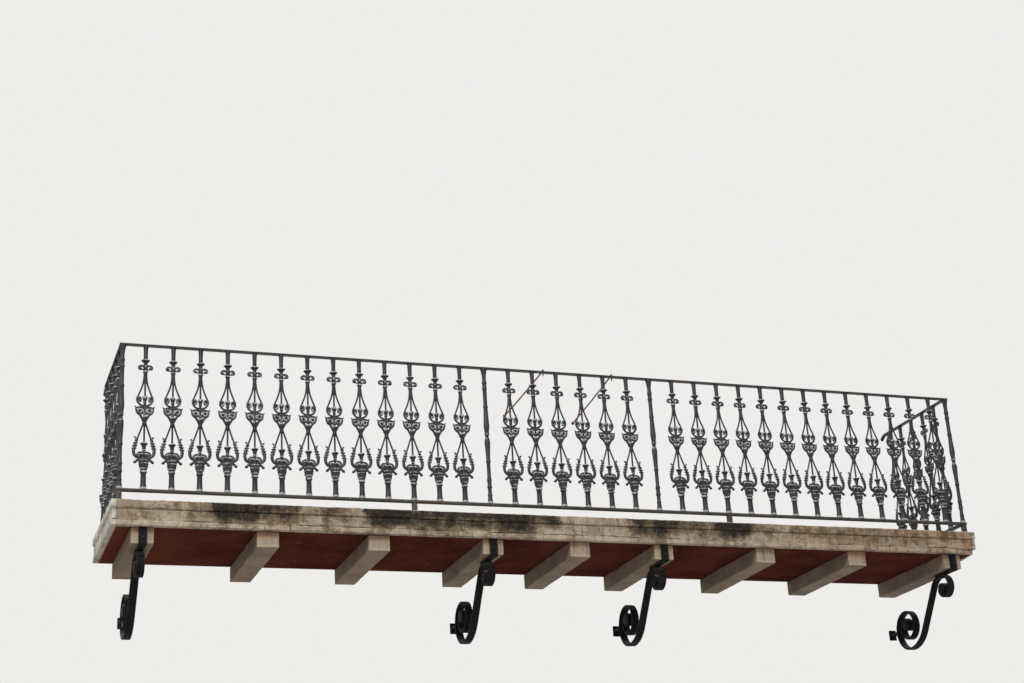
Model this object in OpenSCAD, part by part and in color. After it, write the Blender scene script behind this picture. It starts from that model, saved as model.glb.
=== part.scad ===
// Iron balcony: a stone floor slab on nine joists and four scroll brackets,
// with a railing of cast lyre balusters between turned posts.
// X runs along the facade, the wall plane is Y = 0 and the street is towards -Y.

/* [Railing layout] */
// Distance between neighbouring balusters along the front
bal_pitch = 165; // [155:1:175]
// Balusters in each outer bay of the front
outer_count = 13; // [11:1:14]
// Balusters in the middle bay of the front
middle_count = 6; // [5:1:7]
// Distance from the last front baluster to the corner post
corner_gap = 138; // [125:1:160]
// Distance between neighbouring balusters on the sides
side_pitch = 150; // [145:1:165]
// Balusters on each side
side_count = 5; // [4:1:6]
// Distance from the wall to the nearest side baluster
wall_gap = 110; // [90:1:140]

/* [Rails] */
// Height of the handrail's underside above the floor
rail_height = 970; // [940:1:1050]
// Width of the handrail
handrail_w = 36; // [30:1:44]
// Thickness of the handrail
handrail_t = 9; // [7:0.5:14]
// Gap between the floor and the bottom rail
rail_gap = 58; // [40:1:75]
// Width of the bottom rail
bottom_rail_w = 36; // [36:1:46]
// Height of the bottom rail
bottom_rail_h = 15; // [11:1:20]
// Radius of the forged round end of the side handrails
rail_end_r = 13; // [10:0.5:16]
// Gap between the nearest side baluster and the forged end's flat seat
rail_end_clear = 8; // [6:1:14]
// Length by which the forged end laps the flat handrail
rail_end_lap = 5; // [3:1:6]
// Bend radius of the forged end where it drops into the wall
rail_end_bend = 90; // [80:1:120]
// Distance from the wall at which the forged end starts to bend
rail_end_drop = 60; // [45:1:70]

/* [Floor slab] */
// Distance from the railing axis to the edge of the floor
edge_margin = 50; // [45:1:70]
// Thickness of the floor slab
slab_t = 60; // [50:1:75]
// Height of the rebate under the nosing
rebate_h = 4; // [3:0.5:8]
// Depth of the rebate under the nosing
rebate_d = 14; // [13:1:24]
// Chamfer along the edges of the nosing
nosing_chamfer = 7; // [3:0.5:12]
// Height of the fascia below the slab
fascia_h = 97; // [85:1:115]
// Thickness of the fascia at its middle band
fascia_t = 30; // [24:1:38]
// Setback of the fascia's middle band from the nosing
fascia_setback = 8; // [7:0.5:12]
// Height of the fascia's lower band
band_h = 31; // [24:1:40]
// Depth by which the lower band stands out
band_d = 5; // [3:0.5:6.5]

/* [Joists] */
// Width of a joist
joist_w = 133; // [115:1:145]
// Height of a joist
joist_h = 97; // [80:1:115]
// Distance from the nosing to the front end of the joists
joist_setback = 42; // [36:1:60]
// Distance from the end of the floor to the axis of the end joist
joist_end_inset = 190; // [170:1:220]
// Distance from the joist under the middle post to the next one outwards
joist_gap_inner = 727; // [680:1:760]
// Distance from the end joist to the next one inwards
joist_gap_outer = 735; // [680:1:760]

/* [Brackets] */
// Width of the bracket's flat bar
bar_w = 48; // [40:1:56]
// Thickness of the bracket's flat bar
bar_t = 14; // [11:0.5:16]
// Length of the strap under the joist
strap_len = 210; // [190:1:240]
// Angle at which the brace falls towards the wall
brace_angle = 54; // [50:1:58]
// Length of the straight brace
brace_len = 330; // [300:1:360]
// Bend radius of the shoulder below the joist
shoulder_r = 100; // [85:1:120]
// Distance from the rear end of the strap to the start of the shoulder's bend
shoulder_inset = 27; // [15:1:40]
// Length of the straight run between shoulder and front scroll
shoulder_run = 36; // [20:1:60]
// Bend radius of the front scroll where it starts
front_scroll_r = 76; // [68:1:84]
// Share of its radius that each quarter turn of the front scroll keeps
front_shrink = 0.86; // [0.82:0.01:0.9]
// Quarter turns of the front scroll
front_turns = 3; // [2:1:4]
// Bend radius of the sweep from the brace into the big volute
sweep_r = 220; // [190:1:240]
// Bend radius of the big volute where it starts
volute_r = 142; // [130:1:155]
// Share of its radius that each quarter turn of the big volute keeps
volute_shrink = 0.85; // [0.82:0.01:0.88]
// Quarter turns of the big volute
volute_turns = 6; // [5:1:7]
// Radius of the solid eye in the front scroll
front_eye_r = 38; // [32:1:42]
// Radius of the solid eye in the big volute
volute_eye_r = 40; // [34:1:44]
// Depth by which the eyes stand out from the bar on each side
eye_proud = 3; // [1:0.5:6]
// Thickness of the plate that holds the volute to the wall
tie_plate_t = 10; // [6:0.5:14]
// Height of that wall plate
tie_plate_h = 70; // [60:1:110]
// Margin of that wall plate on each side of the bar
tie_plate_margin = 3; // [2:1:8]
// Length over which the brace is forged into the bends at its ends
brace_lap = 1; // [0.5:0.5:2]
// Depth by which the brace lies below the faces of those bends
brace_shy = 0.2; // [0.1:0.1:0.5]

/* [Balusters] */
// Clear height of the casting that the heights below are given for
casting_h = 897; // [880:1:914]
// Radius of the baluster's foot
foot_r = 17.5; // [16:0.5:17.5]
// Height of the baluster's foot
foot_h = 16; // [10:1:22]
// Radius of the lower shank
shank_r = 15.5; // [13:0.5:16]
// Height at which the lower shank ends
shank_level = 98; // [90:1:100]
// Radius of the collar above the lower shank
collar_r = 20; // [18:0.5:23]
// Height of the top of that collar
collar_level = 116; // [112:1:119]
// Largest radius of the bulb
bulb_r = 29.5; // [26:0.5:31]
// Height of the bulb's swelling below its widest part
bulb_under = 30; // [24:1:34]
// Height of the bulb's widest part
bulb_level = 168; // [160:1:172]
// Radius of the boss above the bulb
boss_r = 10.5; // [8:0.5:11]
// Radius of the capital on the middle rod
capital_r = 21; // [17:0.5:23]
// Radius of the drum below the capital
drum_r = 11; // [9:0.5:13]
// Height of the capital's flare
capital_h = 16; // [12:0.5:20]
// Height of the drum, flare included
drum_h = 44; // [38:1:48]
// Height of the top of the capital
capital_level = 284; // [278:1:292]
// Height of the middle of the lyre's round part
lyre_level = 232; // [228:1:236]
// Distance of the lyre's bend centres from the axis
lyre_x = 11; // [9:0.5:13]
// Bend radius of the lyre's arms
lyre_r = 46; // [43:0.5:49]
// Radius of the lyre's largest lobes
lobe_r = 13; // [12:0.5:14]
// Radius of the lyre's smallest lobes
lobe_small_r = 9.5; // [8.5:0.5:11]
// Height of the upper ends of the lyre's arms
lyre_top_level = 296; // [292:1:300]
// Distance of the lyre's upper ends from the axis
lyre_top_x = 43; // [40:0.5:46]
// Distance from the lyre's upper ends out to the balls at their tips
lyre_tip_x = 7; // [4:1:10]
// Height of those balls above the upper ends
lyre_tip_h = 19; // [15:1:22]
// Radius of the lyre's inner volutes
volute_ring_r = 16; // [14:0.5:17]
// Distance of the volutes from the lyre's bend centres
volute_x = 17; // [15:0.5:19]
// Drop of the volutes below the lyre's bend centres
volute_drop = 25; // [22:0.5:28]
// Radius of the lower leaf tips
leaf_r = 8.5; // [7:0.5:10]
// Distance of the lower leaf tips from the axis
leaf_reach = 52; // [46:1:58]
// Thickness of the flat ornament
ornament_t = 12; // [9:0.5:15]
// Radius of the round rods
rod_r = 5.6; // [4.5:0.1:6.5]
// Height at which the lower three rods part
split_level = 402; // [396:1:408]
// Radius of the vase above the lower three rods
vase_r = 18; // [15:0.5:19]
// Height of the vase's widest part
vase_level = 443; // [438:1:448]
// Height of the centres of the two eyes
eye_level = 484.6; // [482:0.2:488]
// Distance of the eyes' centres from the axis
eye_x = 29.5; // [28:0.5:31]
// Outer radius of the eyes
eye_r = 24; // [21.5:0.5:25.5]
// Radius of the hole round the pupil of the eyes
eye_hole_r = 11; // [9:0.5:13]
// Distance from an eye's centre out to its leaf tip
brow_x = 26; // [22:1:30]
// Height of the leaf tip above the eye's centre
brow_h = 24; // [20:1:27]
// Radius of the pupils
pupil_r = 6.5; // [5:0.5:7.5]
// Height of the upper ends of the basket's sides
basket_level = 557; // [553:1:560]
// Width of the basket's bar
basket_d = 12.5; // [11:0.5:14]
// Distance of the basket's sides from the axis
basket_x = 47.2; // [44:0.2:50]
// Bend radius of the basket's sides
basket_side_r = 32; // [28:1:36]
// Bend radius of the basket's inward curls
curl_r = 12; // [10:0.5:13]
// Height of the cup's rim above the basket's lowest point
cup_rise = 55; // [50:1:58]
// Radius of the cup in the basket
cup_r = 16; // [13:0.5:18]
// Height at which the upper three rods part
stem_level = 657; // [648:1:664]
// Height of the ring above the upper three rods
ring_level = 733; // [728:1:738]
// Radius of that ring
ring_r = 14.2; // [12.5:0.1:16]
// Width of the small upper scrolls' bar
wing_d = 13; // [11:0.5:14]
// Height of the small upper scrolls
wing_level = 761; // [757:1:765]
// Distance of the small upper scrolls from the axis
wing_x = 31; // [28:1:34]
// Bend radius of the small upper scrolls
wing_r = 9.7; // [8.5:0.1:11]
// Radius of the upper shank at its neck
neck_r = 12; // [10:0.5:13]
// Height of the upper collar's underside
upper_collar_level = 795; // [790:1:800]
// Radius of the upper collar
upper_collar_r = 25; // [21:0.5:27]
// Share of the upper shank, above its collar, that keeps its neck before it widens
crown_share = 0.37; // [0.25:0.01:0.5]
// Radius of the upper shank under the handrail
crown_r = 15.7; // [13:0.1:18]

/* [Posts] */
// Radius of the post's slim shaft
post_shaft_r = 13.5; // [12:0.5:15]
// Radius of the post's bulb
post_bulb_r = 18; // [16:0.5:20]
// Radius of the post's top flare
post_flare_r = 21; // [18:0.5:25]
// Radius of the post's rings
post_ring_r = 15.5; // [15:0.5:19]
// Radius of the post's foot
post_foot_r = 17.5; // [16:0.5:17.5]
// Height of the post's foot
post_foot_h = 10; // [6:1:14]

/* [Stays and feet] */
// Radius of the stay rods
stay_r = 5; // [4:0.5:7]
// Position of the left stay on the handrail
stay_left_x = -169; // [-190:1:-100]
// Position of the right stay on the handrail
stay_right_x = 313; // [270:1:370]
// Shift of the left stay's wall end along the facade
stay_left_shift = 30; // [0:1:60]
// Shift of the right stay's wall end along the facade
stay_right_shift = 55; // [20:1:80]
// Fall of the left stay towards the wall
stay_left_fall = 17; // [5:1:50]
// Fall of the right stay towards the wall
stay_right_fall = 42; // [10:1:60]
// Radius of the stay's eye on the handrail
stay_eye_r = 9; // [8:0.5:12]
// Side and height of the knob on the stay's eye
knob_size = 5; // [4:0.5:7]
// Length of the stay's pin below the handrail
pin_h = 22; // [15:1:30]
// Radius of that pin
pin_r = 4; // [3:0.5:6]
// Thickness of the stay's wall rosette
rosette_t = 4; // [3:0.5:7]
// Radius of the stay's wall rosette
rosette_r = 12; // [10:1:20]
// Side of the square feet under the bottom rail
foot_block_w = 30; // [22:1:38]
// Baluster, counted from the middle post, with a foot below it
foot_at = 3; // [2:1:5]
// Side baluster, counted from the wall, with a foot below it
side_foot_at = 3; // [2:1:4]

/* [Hidden] */
$fn = 48;

stone = "#cbbfa9";
soffit_red = "#5d2a26";
joist_beige = "#9b8f7d";
iron = "#2c2f34";
olive_iron = "#4a4a3e";
bracket_black = "#1b1c1d";
rust = "#5a3d2c";

middle_post_x = (middle_count + 1) / 2 * bal_pitch;
corner_post_x = middle_post_x + outer_count * bal_pitch + corner_gap;
rail_out = wall_gap + side_count * side_pitch;
slab_half = corner_post_x + edge_margin;
slab_out = rail_out + edge_margin;
floor_z = slab_t / 2;
core_top = -slab_t / 2;
core_bottom = core_top - fascia_h;
rail_bottom = floor_z + rail_gap;
rail_top = rail_bottom + bottom_rail_h;
handrail_z = floor_z + rail_height;
bal_h = handrail_z - rail_top;

// Heights of the casting's features, which keep their share of the clear height.
rise = bal_h / casting_h;
shank_top = rise * shank_level;
collar_top = rise * collar_level;
bulb_z = rise * bulb_level;
capital_z = rise * capital_level;
lyre_z = rise * lyre_level;
lyre_top = rise * lyre_top_level;
split_z = rise * split_level;
vase_z = rise * vase_level;
eye_z = rise * eye_level;
basket_z = rise * basket_level;
stem_z = rise * stem_level;
ring_z = rise * ring_level;
wing_z = rise * wing_level;
upper_collar_z = rise * upper_collar_level;

joist_bottom = core_bottom - joist_h;
joist_front = slab_out - joist_setback;
joist_end_x = slab_half - joist_end_inset;
joist_xs = [
    -joist_end_x,
    -joist_end_x + joist_gap_outer,
    -middle_post_x - joist_gap_inner,
    -middle_post_x,
    0,
    middle_post_x,
    middle_post_x + joist_gap_inner,
    joist_end_x - joist_gap_outer,
    joist_end_x
];
bracket_xs = [joist_xs[0], joist_xs[3], joist_xs[5], joist_xs[8]];

// Turned piece round the Z axis, from a profile of [radius, height] points.
module turned(points) {
    last = len(points) - 1;
    rotate_extrude()
        polygon(concat([[0, points[0].y]], points, [[0, points[last].y]]));
}

// Round rod between two points [x, z] of the railing's plane.
module rod(a, b, r) {
    d = b - a;
    translate([a.x, 0, a.y])
        rotate([0, atan2(d.x, d.y), 0])
            cylinder(h = norm(d), r = r);
}

// Flat bar between two points of a drawing.
module bar(a, b, w) {
    d = b - a;
    translate(a)
        rotate(atan2(d.y, d.x))
            translate([0, -w / 2])
                square([norm(d), w]);
}

// Flat bar bent to an arc in a drawing.
module arc(c, bend_r, from, to, w) {
    steps = ceil((to - from) / 60);
    reach = 2.4 * (bend_r + w);
    translate(c)
        intersection() {
            difference() {
                circle(r = bend_r + w / 2);
                circle(r = bend_r - w / 2);
            }
            polygon(concat(
                [[0, 0]],
                [for (k = [0:steps]) let (a = from + (to - from) * k / steps) reach * [cos(a), sin(a)]]
            ));
        }
}

// Drawing of a round boss or lobe.
module dot(c, r) {
    translate(c)
        circle(r = r);
}

// Flat piece of thickness t, its drawing standing in the railing's plane.
module flat(t) {
    rotate([90, 0, 0])
        linear_extrude(height = t, center = true)
            children();
}

// Both mirror halves of what lies right of the axis.
module both_sides() {
    children();
    mirror([1, 0, 0])
        children();
}

boss_low = bulb_z + 31;
boss_high = boss_low + 17;
arch_z = boss_high + 9;
basket_turn = 50;
basket_low_r = (basket_x - basket_side_r + basket_side_r * cos(basket_turn)) / cos(basket_turn);
basket_low_z = basket_z - basket_side_r * sin(basket_turn) + basket_low_r * sin(basket_turn);
basket_bottom = basket_low_z - basket_low_r;
rod_d = 2 * rod_r;
arm_turn = 10;
arm_foot_turn = 84;
curl_turn = 240;
arch_r = 20;
arch_turn = 15;
arm_end = [lyre_x, lyre_z] + lyre_r * [cos(arm_turn), sin(arm_turn)];
arm_top = [lyre_top_x, lyre_top];
lyre_volute = [lyre_x + volute_x, lyre_z - volute_drop];
lyre_tip = arm_top + [lyre_tip_x, lyre_tip_h];
brow_tip = [eye_x + brow_x, eye_z + brow_h];
slim_d = rod_d - 1.4;

// Turned core of the baluster, from its foot to the handrail at height h.
module baluster_core(h) {
    crown_low = upper_collar_z + 12;
    turned([
        [foot_r, 0],
        [foot_r, foot_h],
        [foot_r - 0.5, foot_h + 4],
        [shank_r, foot_h + 24],
        [shank_r - 1, shank_top],
        [collar_r, shank_top + 4],
        [collar_r, collar_top],
        [bulb_r * 0.6, collar_top + 4],
        [bulb_r * 0.88, bulb_z - bulb_under],
        [bulb_r, bulb_z],
        [bulb_r, bulb_z + 7],
        [boss_r - 1, bulb_z + 15],
        [boss_r - 3, boss_low - 3],
        [boss_r, boss_low + 3],
        [boss_r, boss_high - 3],
        [rod_r, boss_high],
        [rod_r, arch_z + rod_r],
        [drum_r, capital_z - drum_h],
        [drum_r + 2, capital_z - capital_h],
        [capital_r, capital_z - capital_h / 4],
        [capital_r, capital_z],
        [rod_r, capital_z],
        [rod_r, split_z - 12],
        [rod_r + 7, split_z - 4],
        [rod_r + 6.5, split_z + 19],
        [vase_r, vase_z],
        [rod_r + 3, vase_z + 15],
        [rod_r + 5.4, vase_z + 17],
        [rod_r + 5.4, vase_z + 26],
        [rod_r, vase_z + 30],
        [rod_r + 1.5, basket_bottom],
        [rod_r + 1.5, basket_bottom + 14],
        [10, basket_bottom + 16],
        [10, basket_bottom + 23],
        [8.5, basket_bottom + 25],
        [cup_r, basket_bottom + cup_rise],
        [rod_r, basket_bottom + cup_rise],
        [rod_r, stem_z - 8],
        [rod_r + 9, stem_z],
        [neck_r - 1, ring_z - 6],
        [ring_r, ring_z - 4],
        [ring_r, ring_z + 4],
        [neck_r, ring_z + 6],
        [neck_r, upper_collar_z - 13],
        [crown_r, upper_collar_z],
        [upper_collar_r - 2, upper_collar_z + 6],
        [upper_collar_r, upper_collar_z + 10],
        [neck_r, crown_low],
        [neck_r + 0.5, crown_low + crown_share * (h - crown_low)],
        [crown_r, h]
    ]);
}

// Drawing of the lyre's right arm: a rod set with lobes, its tip turned out and its volute in.
module lyre_arm() {
    arc([lyre_x, lyre_z], lyre_r, -arm_foot_turn, arm_turn, rod_d);
    bar(arm_end, arm_top, rod_d);
    for (k = [0:3]) {
        turn = arm_turn - 4 - 24 * k;
        r = lobe_r - (lobe_r - lobe_small_r) * k / 3;
        dot([lyre_x, lyre_z] + lyre_r * [cos(turn), sin(turn)], r);
    }
    for (k = [1:3])
        dot(arm_end + (arm_top - arm_end) * (k - 0.55) / 2.7, lobe_r);
    bar(arm_top, lyre_tip, slim_d);
    dot(lyre_tip, rod_r);
    eye(lyre_volute, volute_ring_r, volute_ring_r - 7, 250);
    bar([boss_r, boss_low - 10], [leaf_reach, bulb_z], rod_d);
    dot([leaf_reach, bulb_z], leaf_r);
}

// Drawing of a rolled end: a ring joined to its pupil.
module eye(c, r, hole_r, web_angle) {
    translate(c) {
        difference() {
            circle(r = r);
            circle(r = hole_r);
        }
        circle(r = pupil_r);
        rotate(web_angle)
            translate([0, -pupil_r / 2])
                square([hole_r + 1, pupil_r]);
    }
}

// Drawing of an eye beside the vase, with its leaf tip.
module leaf_eye() {
    eye([eye_x, eye_z], eye_r, eye_hole_r, 230);
    bar([eye_x, eye_z] + [12, 15], brow_tip, slim_d);
    dot(brow_tip, rod_r);
    bar([0, eye_z + 15], [eye_x - 4, eye_z + 19], rod_d - 2);
    bar([0, vase_z], [eye_x, eye_z - 20], rod_d);
}

// Drawing of the basket's right half: a bowl of rod whose end curls inwards.
module basket_half() {
    arc([0, basket_low_z], basket_low_r, -90, -basket_turn, basket_d);
    arc([basket_x - basket_side_r, basket_z], basket_side_r, -basket_turn, 0, basket_d);
    arc([basket_x - curl_r, basket_z], curl_r, 0, curl_turn, basket_d);
}

// Drawing of a small scroll at the hub.
module wing() {
    bar([0, wing_z + wing_r], [wing_x, wing_z + wing_r], wing_d);
    arc([wing_x, wing_z], wing_r, -60, 90, wing_d);
    dot([wing_x, wing_z] + wing_r * [cos(60), -sin(60)], wing_d / 2 + 0.5);
}

// Round side rods, below the vase and above the basket.
module side_rods() {
    rod([8, split_z], arm_top, rod_r);
    rod([8.4, stem_z], [basket_x - curl_r + 4, basket_z + curl_r], rod_r);
}

// One cast baluster of clear height h, standing on the origin with its ornament across X.
module baluster(h) {
    baluster_core(h);
    both_sides()
        side_rods();
    flat(ornament_t)
        both_sides() {
            lyre_arm();
            leaf_eye();
            basket_half();
            wing();
        }
    flat(ornament_t - 2)
        arc([0, arch_z - arch_r], arch_r, arch_turn, 180 - arch_turn, rod_d - 2);
}

// Row of balusters at the given positions along X.
module baluster_row(xs) {
    for (x = xs)
        translate([x, -rail_out, rail_top])
            baluster(bal_h);
}

// Row of balusters on one side, their ornament across Y.
module side_row(x) {
    for (k = [0:side_count - 1])
        translate([x, -wall_gap - k * side_pitch, rail_top])
            rotate([0, 0, 90])
                baluster(bal_h);
}

outer_xs = [for (k = [1:outer_count]) middle_post_x + k * bal_pitch];
middle_xs = [for (k = [1:middle_count]) -middle_post_x + k * bal_pitch];

module front_left_balusters() {
    color(iron)
        baluster_row([for (x = outer_xs) -x]);
}

module front_centre_balusters() {
    color(iron)
        baluster_row(middle_xs);
}

module front_right_balusters() {
    color(iron)
        baluster_row(outer_xs);
}

module left_side_balusters() {
    color(iron)
        side_row(-corner_post_x);
}

module right_side_balusters() {
    color(iron)
        side_row(corner_post_x);
}

// Turned post of height h.
module post(h) {
    turned([
        [post_foot_r, 0],
        [post_foot_r, post_foot_h],
        [post_shaft_r + 1.5, post_foot_h + 12],
        [post_shaft_r - 0.5, h * 0.05],
        [post_ring_r - 1, h * 0.054],
        [post_ring_r - 1, h * 0.064],
        [post_shaft_r - 1.5, h * 0.07],
        [post_shaft_r - 1.5, h * 0.11],
        [post_ring_r, h * 0.114],
        [post_ring_r, h * 0.126],
        [post_shaft_r - 0.5, h * 0.132],
        [post_shaft_r - 0.5, h * 0.16],
        [post_ring_r, h * 0.165],
        [post_ring_r, h * 0.175],
        [post_shaft_r - 1, h * 0.183],
        [post_shaft_r - 2, h * 0.295],
        [post_ring_r - 0.5, h * 0.3],
        [post_ring_r - 0.5, h * 0.31],
        [post_shaft_r - 0.5, h * 0.32],
        [post_bulb_r, h * 0.44],
        [post_bulb_r - 3, h * 0.474],
        [post_shaft_r - 2.5, h * 0.482],
        [post_shaft_r - 2.5, h * 0.5],
        [post_ring_r + 0.5, h * 0.503],
        [post_ring_r + 0.5, h * 0.514],
        [post_shaft_r, h * 0.52],
        [post_bulb_r + 0.5, h * 0.566],
        [post_shaft_r, h * 0.704],
        [post_ring_r, h * 0.706],
        [post_ring_r, h * 0.718],
        [post_shaft_r - 0.5, h * 0.725],
        [post_shaft_r - 0.5, h * 0.838],
        [post_ring_r, h * 0.842],
        [post_ring_r, h * 0.853],
        [post_shaft_r, h * 0.858],
        [post_shaft_r, h * 0.884],
        [post_ring_r + 0.5, h * 0.888],
        [post_ring_r + 0.5, h * 0.898],
        [post_shaft_r - 1, h * 0.91],
        [post_shaft_r - 0.5, h * 0.94],
        [post_flare_r, h - 8],
        [post_flare_r, h]
    ]);
}

module front_post(x) {
    color(iron)
        translate([x, -rail_out, rail_top])
            post(bal_h);
}

module corner_post_left() {
    front_post(-corner_post_x);
}

module corner_post_right() {
    front_post(corner_post_x);
}

module middle_post_left() {
    front_post(-middle_post_x);
}

module middle_post_right() {
    front_post(middle_post_x);
}

module handrail_front() {
    color(iron)
        translate([-corner_post_x - handrail_w / 2, -rail_out - handrail_w / 2, handrail_z])
            cube([2 * corner_post_x + handrail_w, handrail_w, handrail_t]);
}

// Side handrail, which ends in a round forged piece that drops into the wall.
module side_handrail(x) {
    flat_end = wall_gap - upper_collar_r - rail_end_clear;
    straight = flat_end - rail_end_drop + rail_end_lap;
    mid_z = handrail_z + handrail_t / 2;
    color(iron) {
        translate([x - handrail_w / 2, -rail_out + handrail_w / 2, handrail_z])
            cube([handrail_w, rail_out - handrail_w / 2 - flat_end, handrail_t]);
        intersection() {
            translate([x, -rail_end_drop, mid_z]) {
                translate([0, -straight, 0])
                    rotate([-90, 0, 0])
                        cylinder(h = straight, r = rail_end_r);
                translate([0, 0, -rail_end_bend])
                    rotate([90, 0, 90])
                        rotate_extrude(angle = 90)
                            translate([rail_end_bend, 0])
                                circle(r = rail_end_r);
            }
            translate([x - 2 * rail_end_r, -wall_gap, mid_z - rail_end_bend])
                cube([4 * rail_end_r, wall_gap, 2 * rail_end_bend]);
        }
    }
}

module handrail_left() {
    side_handrail(-corner_post_x);
}

module handrail_right() {
    side_handrail(corner_post_x);
}

module bottom_rail_front() {
    color(olive_iron)
        translate([-corner_post_x - bottom_rail_w / 2, -rail_out - bottom_rail_w / 2, rail_bottom])
            cube([2 * corner_post_x + bottom_rail_w, bottom_rail_w, bottom_rail_h]);
}

module side_bottom_rail(x) {
    color(olive_iron)
        translate([x - bottom_rail_w / 2, -rail_out + bottom_rail_w / 2, rail_bottom])
            cube([bottom_rail_w, rail_out - bottom_rail_w / 2, bottom_rail_h]);
}

module bottom_rail_left() {
    side_bottom_rail(-corner_post_x);
}

module bottom_rail_right() {
    side_bottom_rail(corner_post_x);
}

module foot_block(x, y) {
    translate([x - foot_block_w / 2, y - foot_block_w / 2, floor_z])
        cube([foot_block_w, foot_block_w, rail_gap]);
}

module rail_feet() {
    foot_x = middle_post_x + foot_at * bal_pitch;
    foot_y = -wall_gap - (side_foot_at - 1) * side_pitch;
    color(iron)
        for (s = [-1, 1]) {
            foot_block(s * corner_post_x, -rail_out);
            foot_block(s * foot_x, -rail_out);
            foot_block(s * corner_post_x, foot_y);
        }
}

module floor_slab() {
    c = nosing_chamfer;
    color(stone) {
        intersection() {
            translate([-slab_half, 0, 0])
                rotate([90, 0, 90])
                    linear_extrude(height = 2 * slab_half)
                        polygon([
                            [0, core_top + rebate_h],
                            [-slab_out + c, core_top + rebate_h],
                            [-slab_out, core_top + rebate_h + c],
                            [-slab_out, floor_z - c],
                            [-slab_out + c, floor_z],
                            [0, floor_z]
                        ]);
            rotate([90, 0, 0])
                linear_extrude(height = slab_out)
                    polygon([
                        [-slab_half + c, core_top + rebate_h],
                        [slab_half - c, core_top + rebate_h],
                        [slab_half, core_top + rebate_h + c],
                        [slab_half, floor_z - c],
                        [slab_half - c, floor_z],
                        [-slab_half + c, floor_z],
                        [-slab_half, floor_z - c],
                        [-slab_half, core_top + rebate_h + c]
                    ]);
        }
        translate([-slab_half + rebate_d, -slab_out + rebate_d, core_top])
            cube([2 * (slab_half - rebate_d), slab_out - rebate_d, rebate_h]);
    }
}

core_half = slab_half - fascia_setback - fascia_t;
core_out = slab_out - fascia_setback - fascia_t;

module slab_core() {
    color(soffit_red)
        translate([-core_half, -core_out, core_bottom])
            cube([2 * core_half, core_out, fascia_h]);
}

// Fascia profile, its back on the Y axis of the drawing and its face towards +X.
module fascia_profile() {
    polygon([
        [0, core_bottom],
        [fascia_t + band_d, core_bottom],
        [fascia_t + band_d, core_bottom + band_h - band_d],
        [fascia_t, core_bottom + band_h],
        [fascia_t, core_top],
        [0, core_top]
    ]);
}

// Front fascia, mitred at both corners.
module fascia_front() {
    reach = fascia_t + band_d;
    color(stone)
        intersection() {
            translate([core_half + reach, -core_out, 0])
                rotate([90, 0, -90])
                    linear_extrude(height = 2 * (core_half + reach))
                        fascia_profile();
            translate([0, 0, core_bottom])
                linear_extrude(height = fascia_h)
                    polygon([
                        [-core_half, -core_out],
                        [core_half, -core_out],
                        [core_half + reach, -core_out - reach],
                        [-core_half - reach, -core_out - reach]
                    ]);
        }
}

// Side fascia on the right, mitred at the front corner and cut square at the wall.
module side_fascia() {
    reach = fascia_t + band_d;
    color(stone)
        intersection() {
            translate([core_half, 0, 0])
                rotate([90, 0, 0])
                    linear_extrude(height = core_out + reach)
                        fascia_profile();
            translate([0, 0, core_bottom])
                linear_extrude(height = fascia_h)
                    polygon([
                        [core_half, 0],
                        [core_half, -core_out],
                        [core_half + reach, -core_out - reach],
                        [core_half + reach, 0]
                    ]);
        }
}

module fascia_right() {
    side_fascia();
}

module fascia_left() {
    mirror([1, 0, 0])
        side_fascia();
}

module joist(n) {
    color(joist_beige)
        translate([joist_xs[n - 1] - joist_w / 2, -joist_front, joist_bottom])
            cube([joist_w, joist_front, joist_h]);
}

module joist_1() {
    joist(1);
}

module joist_2() {
    joist(2);
}

module joist_3() {
    joist(3);
}

module joist_4() {
    joist(4);
}

module joist_5() {
    joist(5);
}

module joist_6() {
    joist(6);
}

module joist_7() {
    joist(7);
}

module joist_8() {
    joist(8);
}

module joist_9() {
    joist(9);
}

// Rounded to a tenth, so that neighbouring bends meet face to face.
function snap(v) = round(v * 10) / 10;

// Flat bar bent through an angle round the origin, starting at [bend_r, 0] and turning left.
module bar_bend(bend_r, angle) {
    rotate_extrude(angle = angle)
        translate([bend_r - bar_t / 2, -bar_w / 2])
            square([bar_t, bar_w]);
}

// Scroll of quarter turns, each tighter than the last, ending in a solid eye.
module scroll(bend_r, shrink, turns, eye_r) {
    bar_bend(bend_r, 90);
    next_r = snap(bend_r * shrink);
    translate([0, bend_r - next_r, 0])
        rotate([0, 0, 90])
            if (turns > 1)
                scroll(next_r, shrink, turns - 1, eye_r);
            else
                translate([next_r - eye_r, 0, 0])
                    cylinder(h = bar_w + 2 * eye_proud, r = eye_r, center = true);
}

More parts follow.
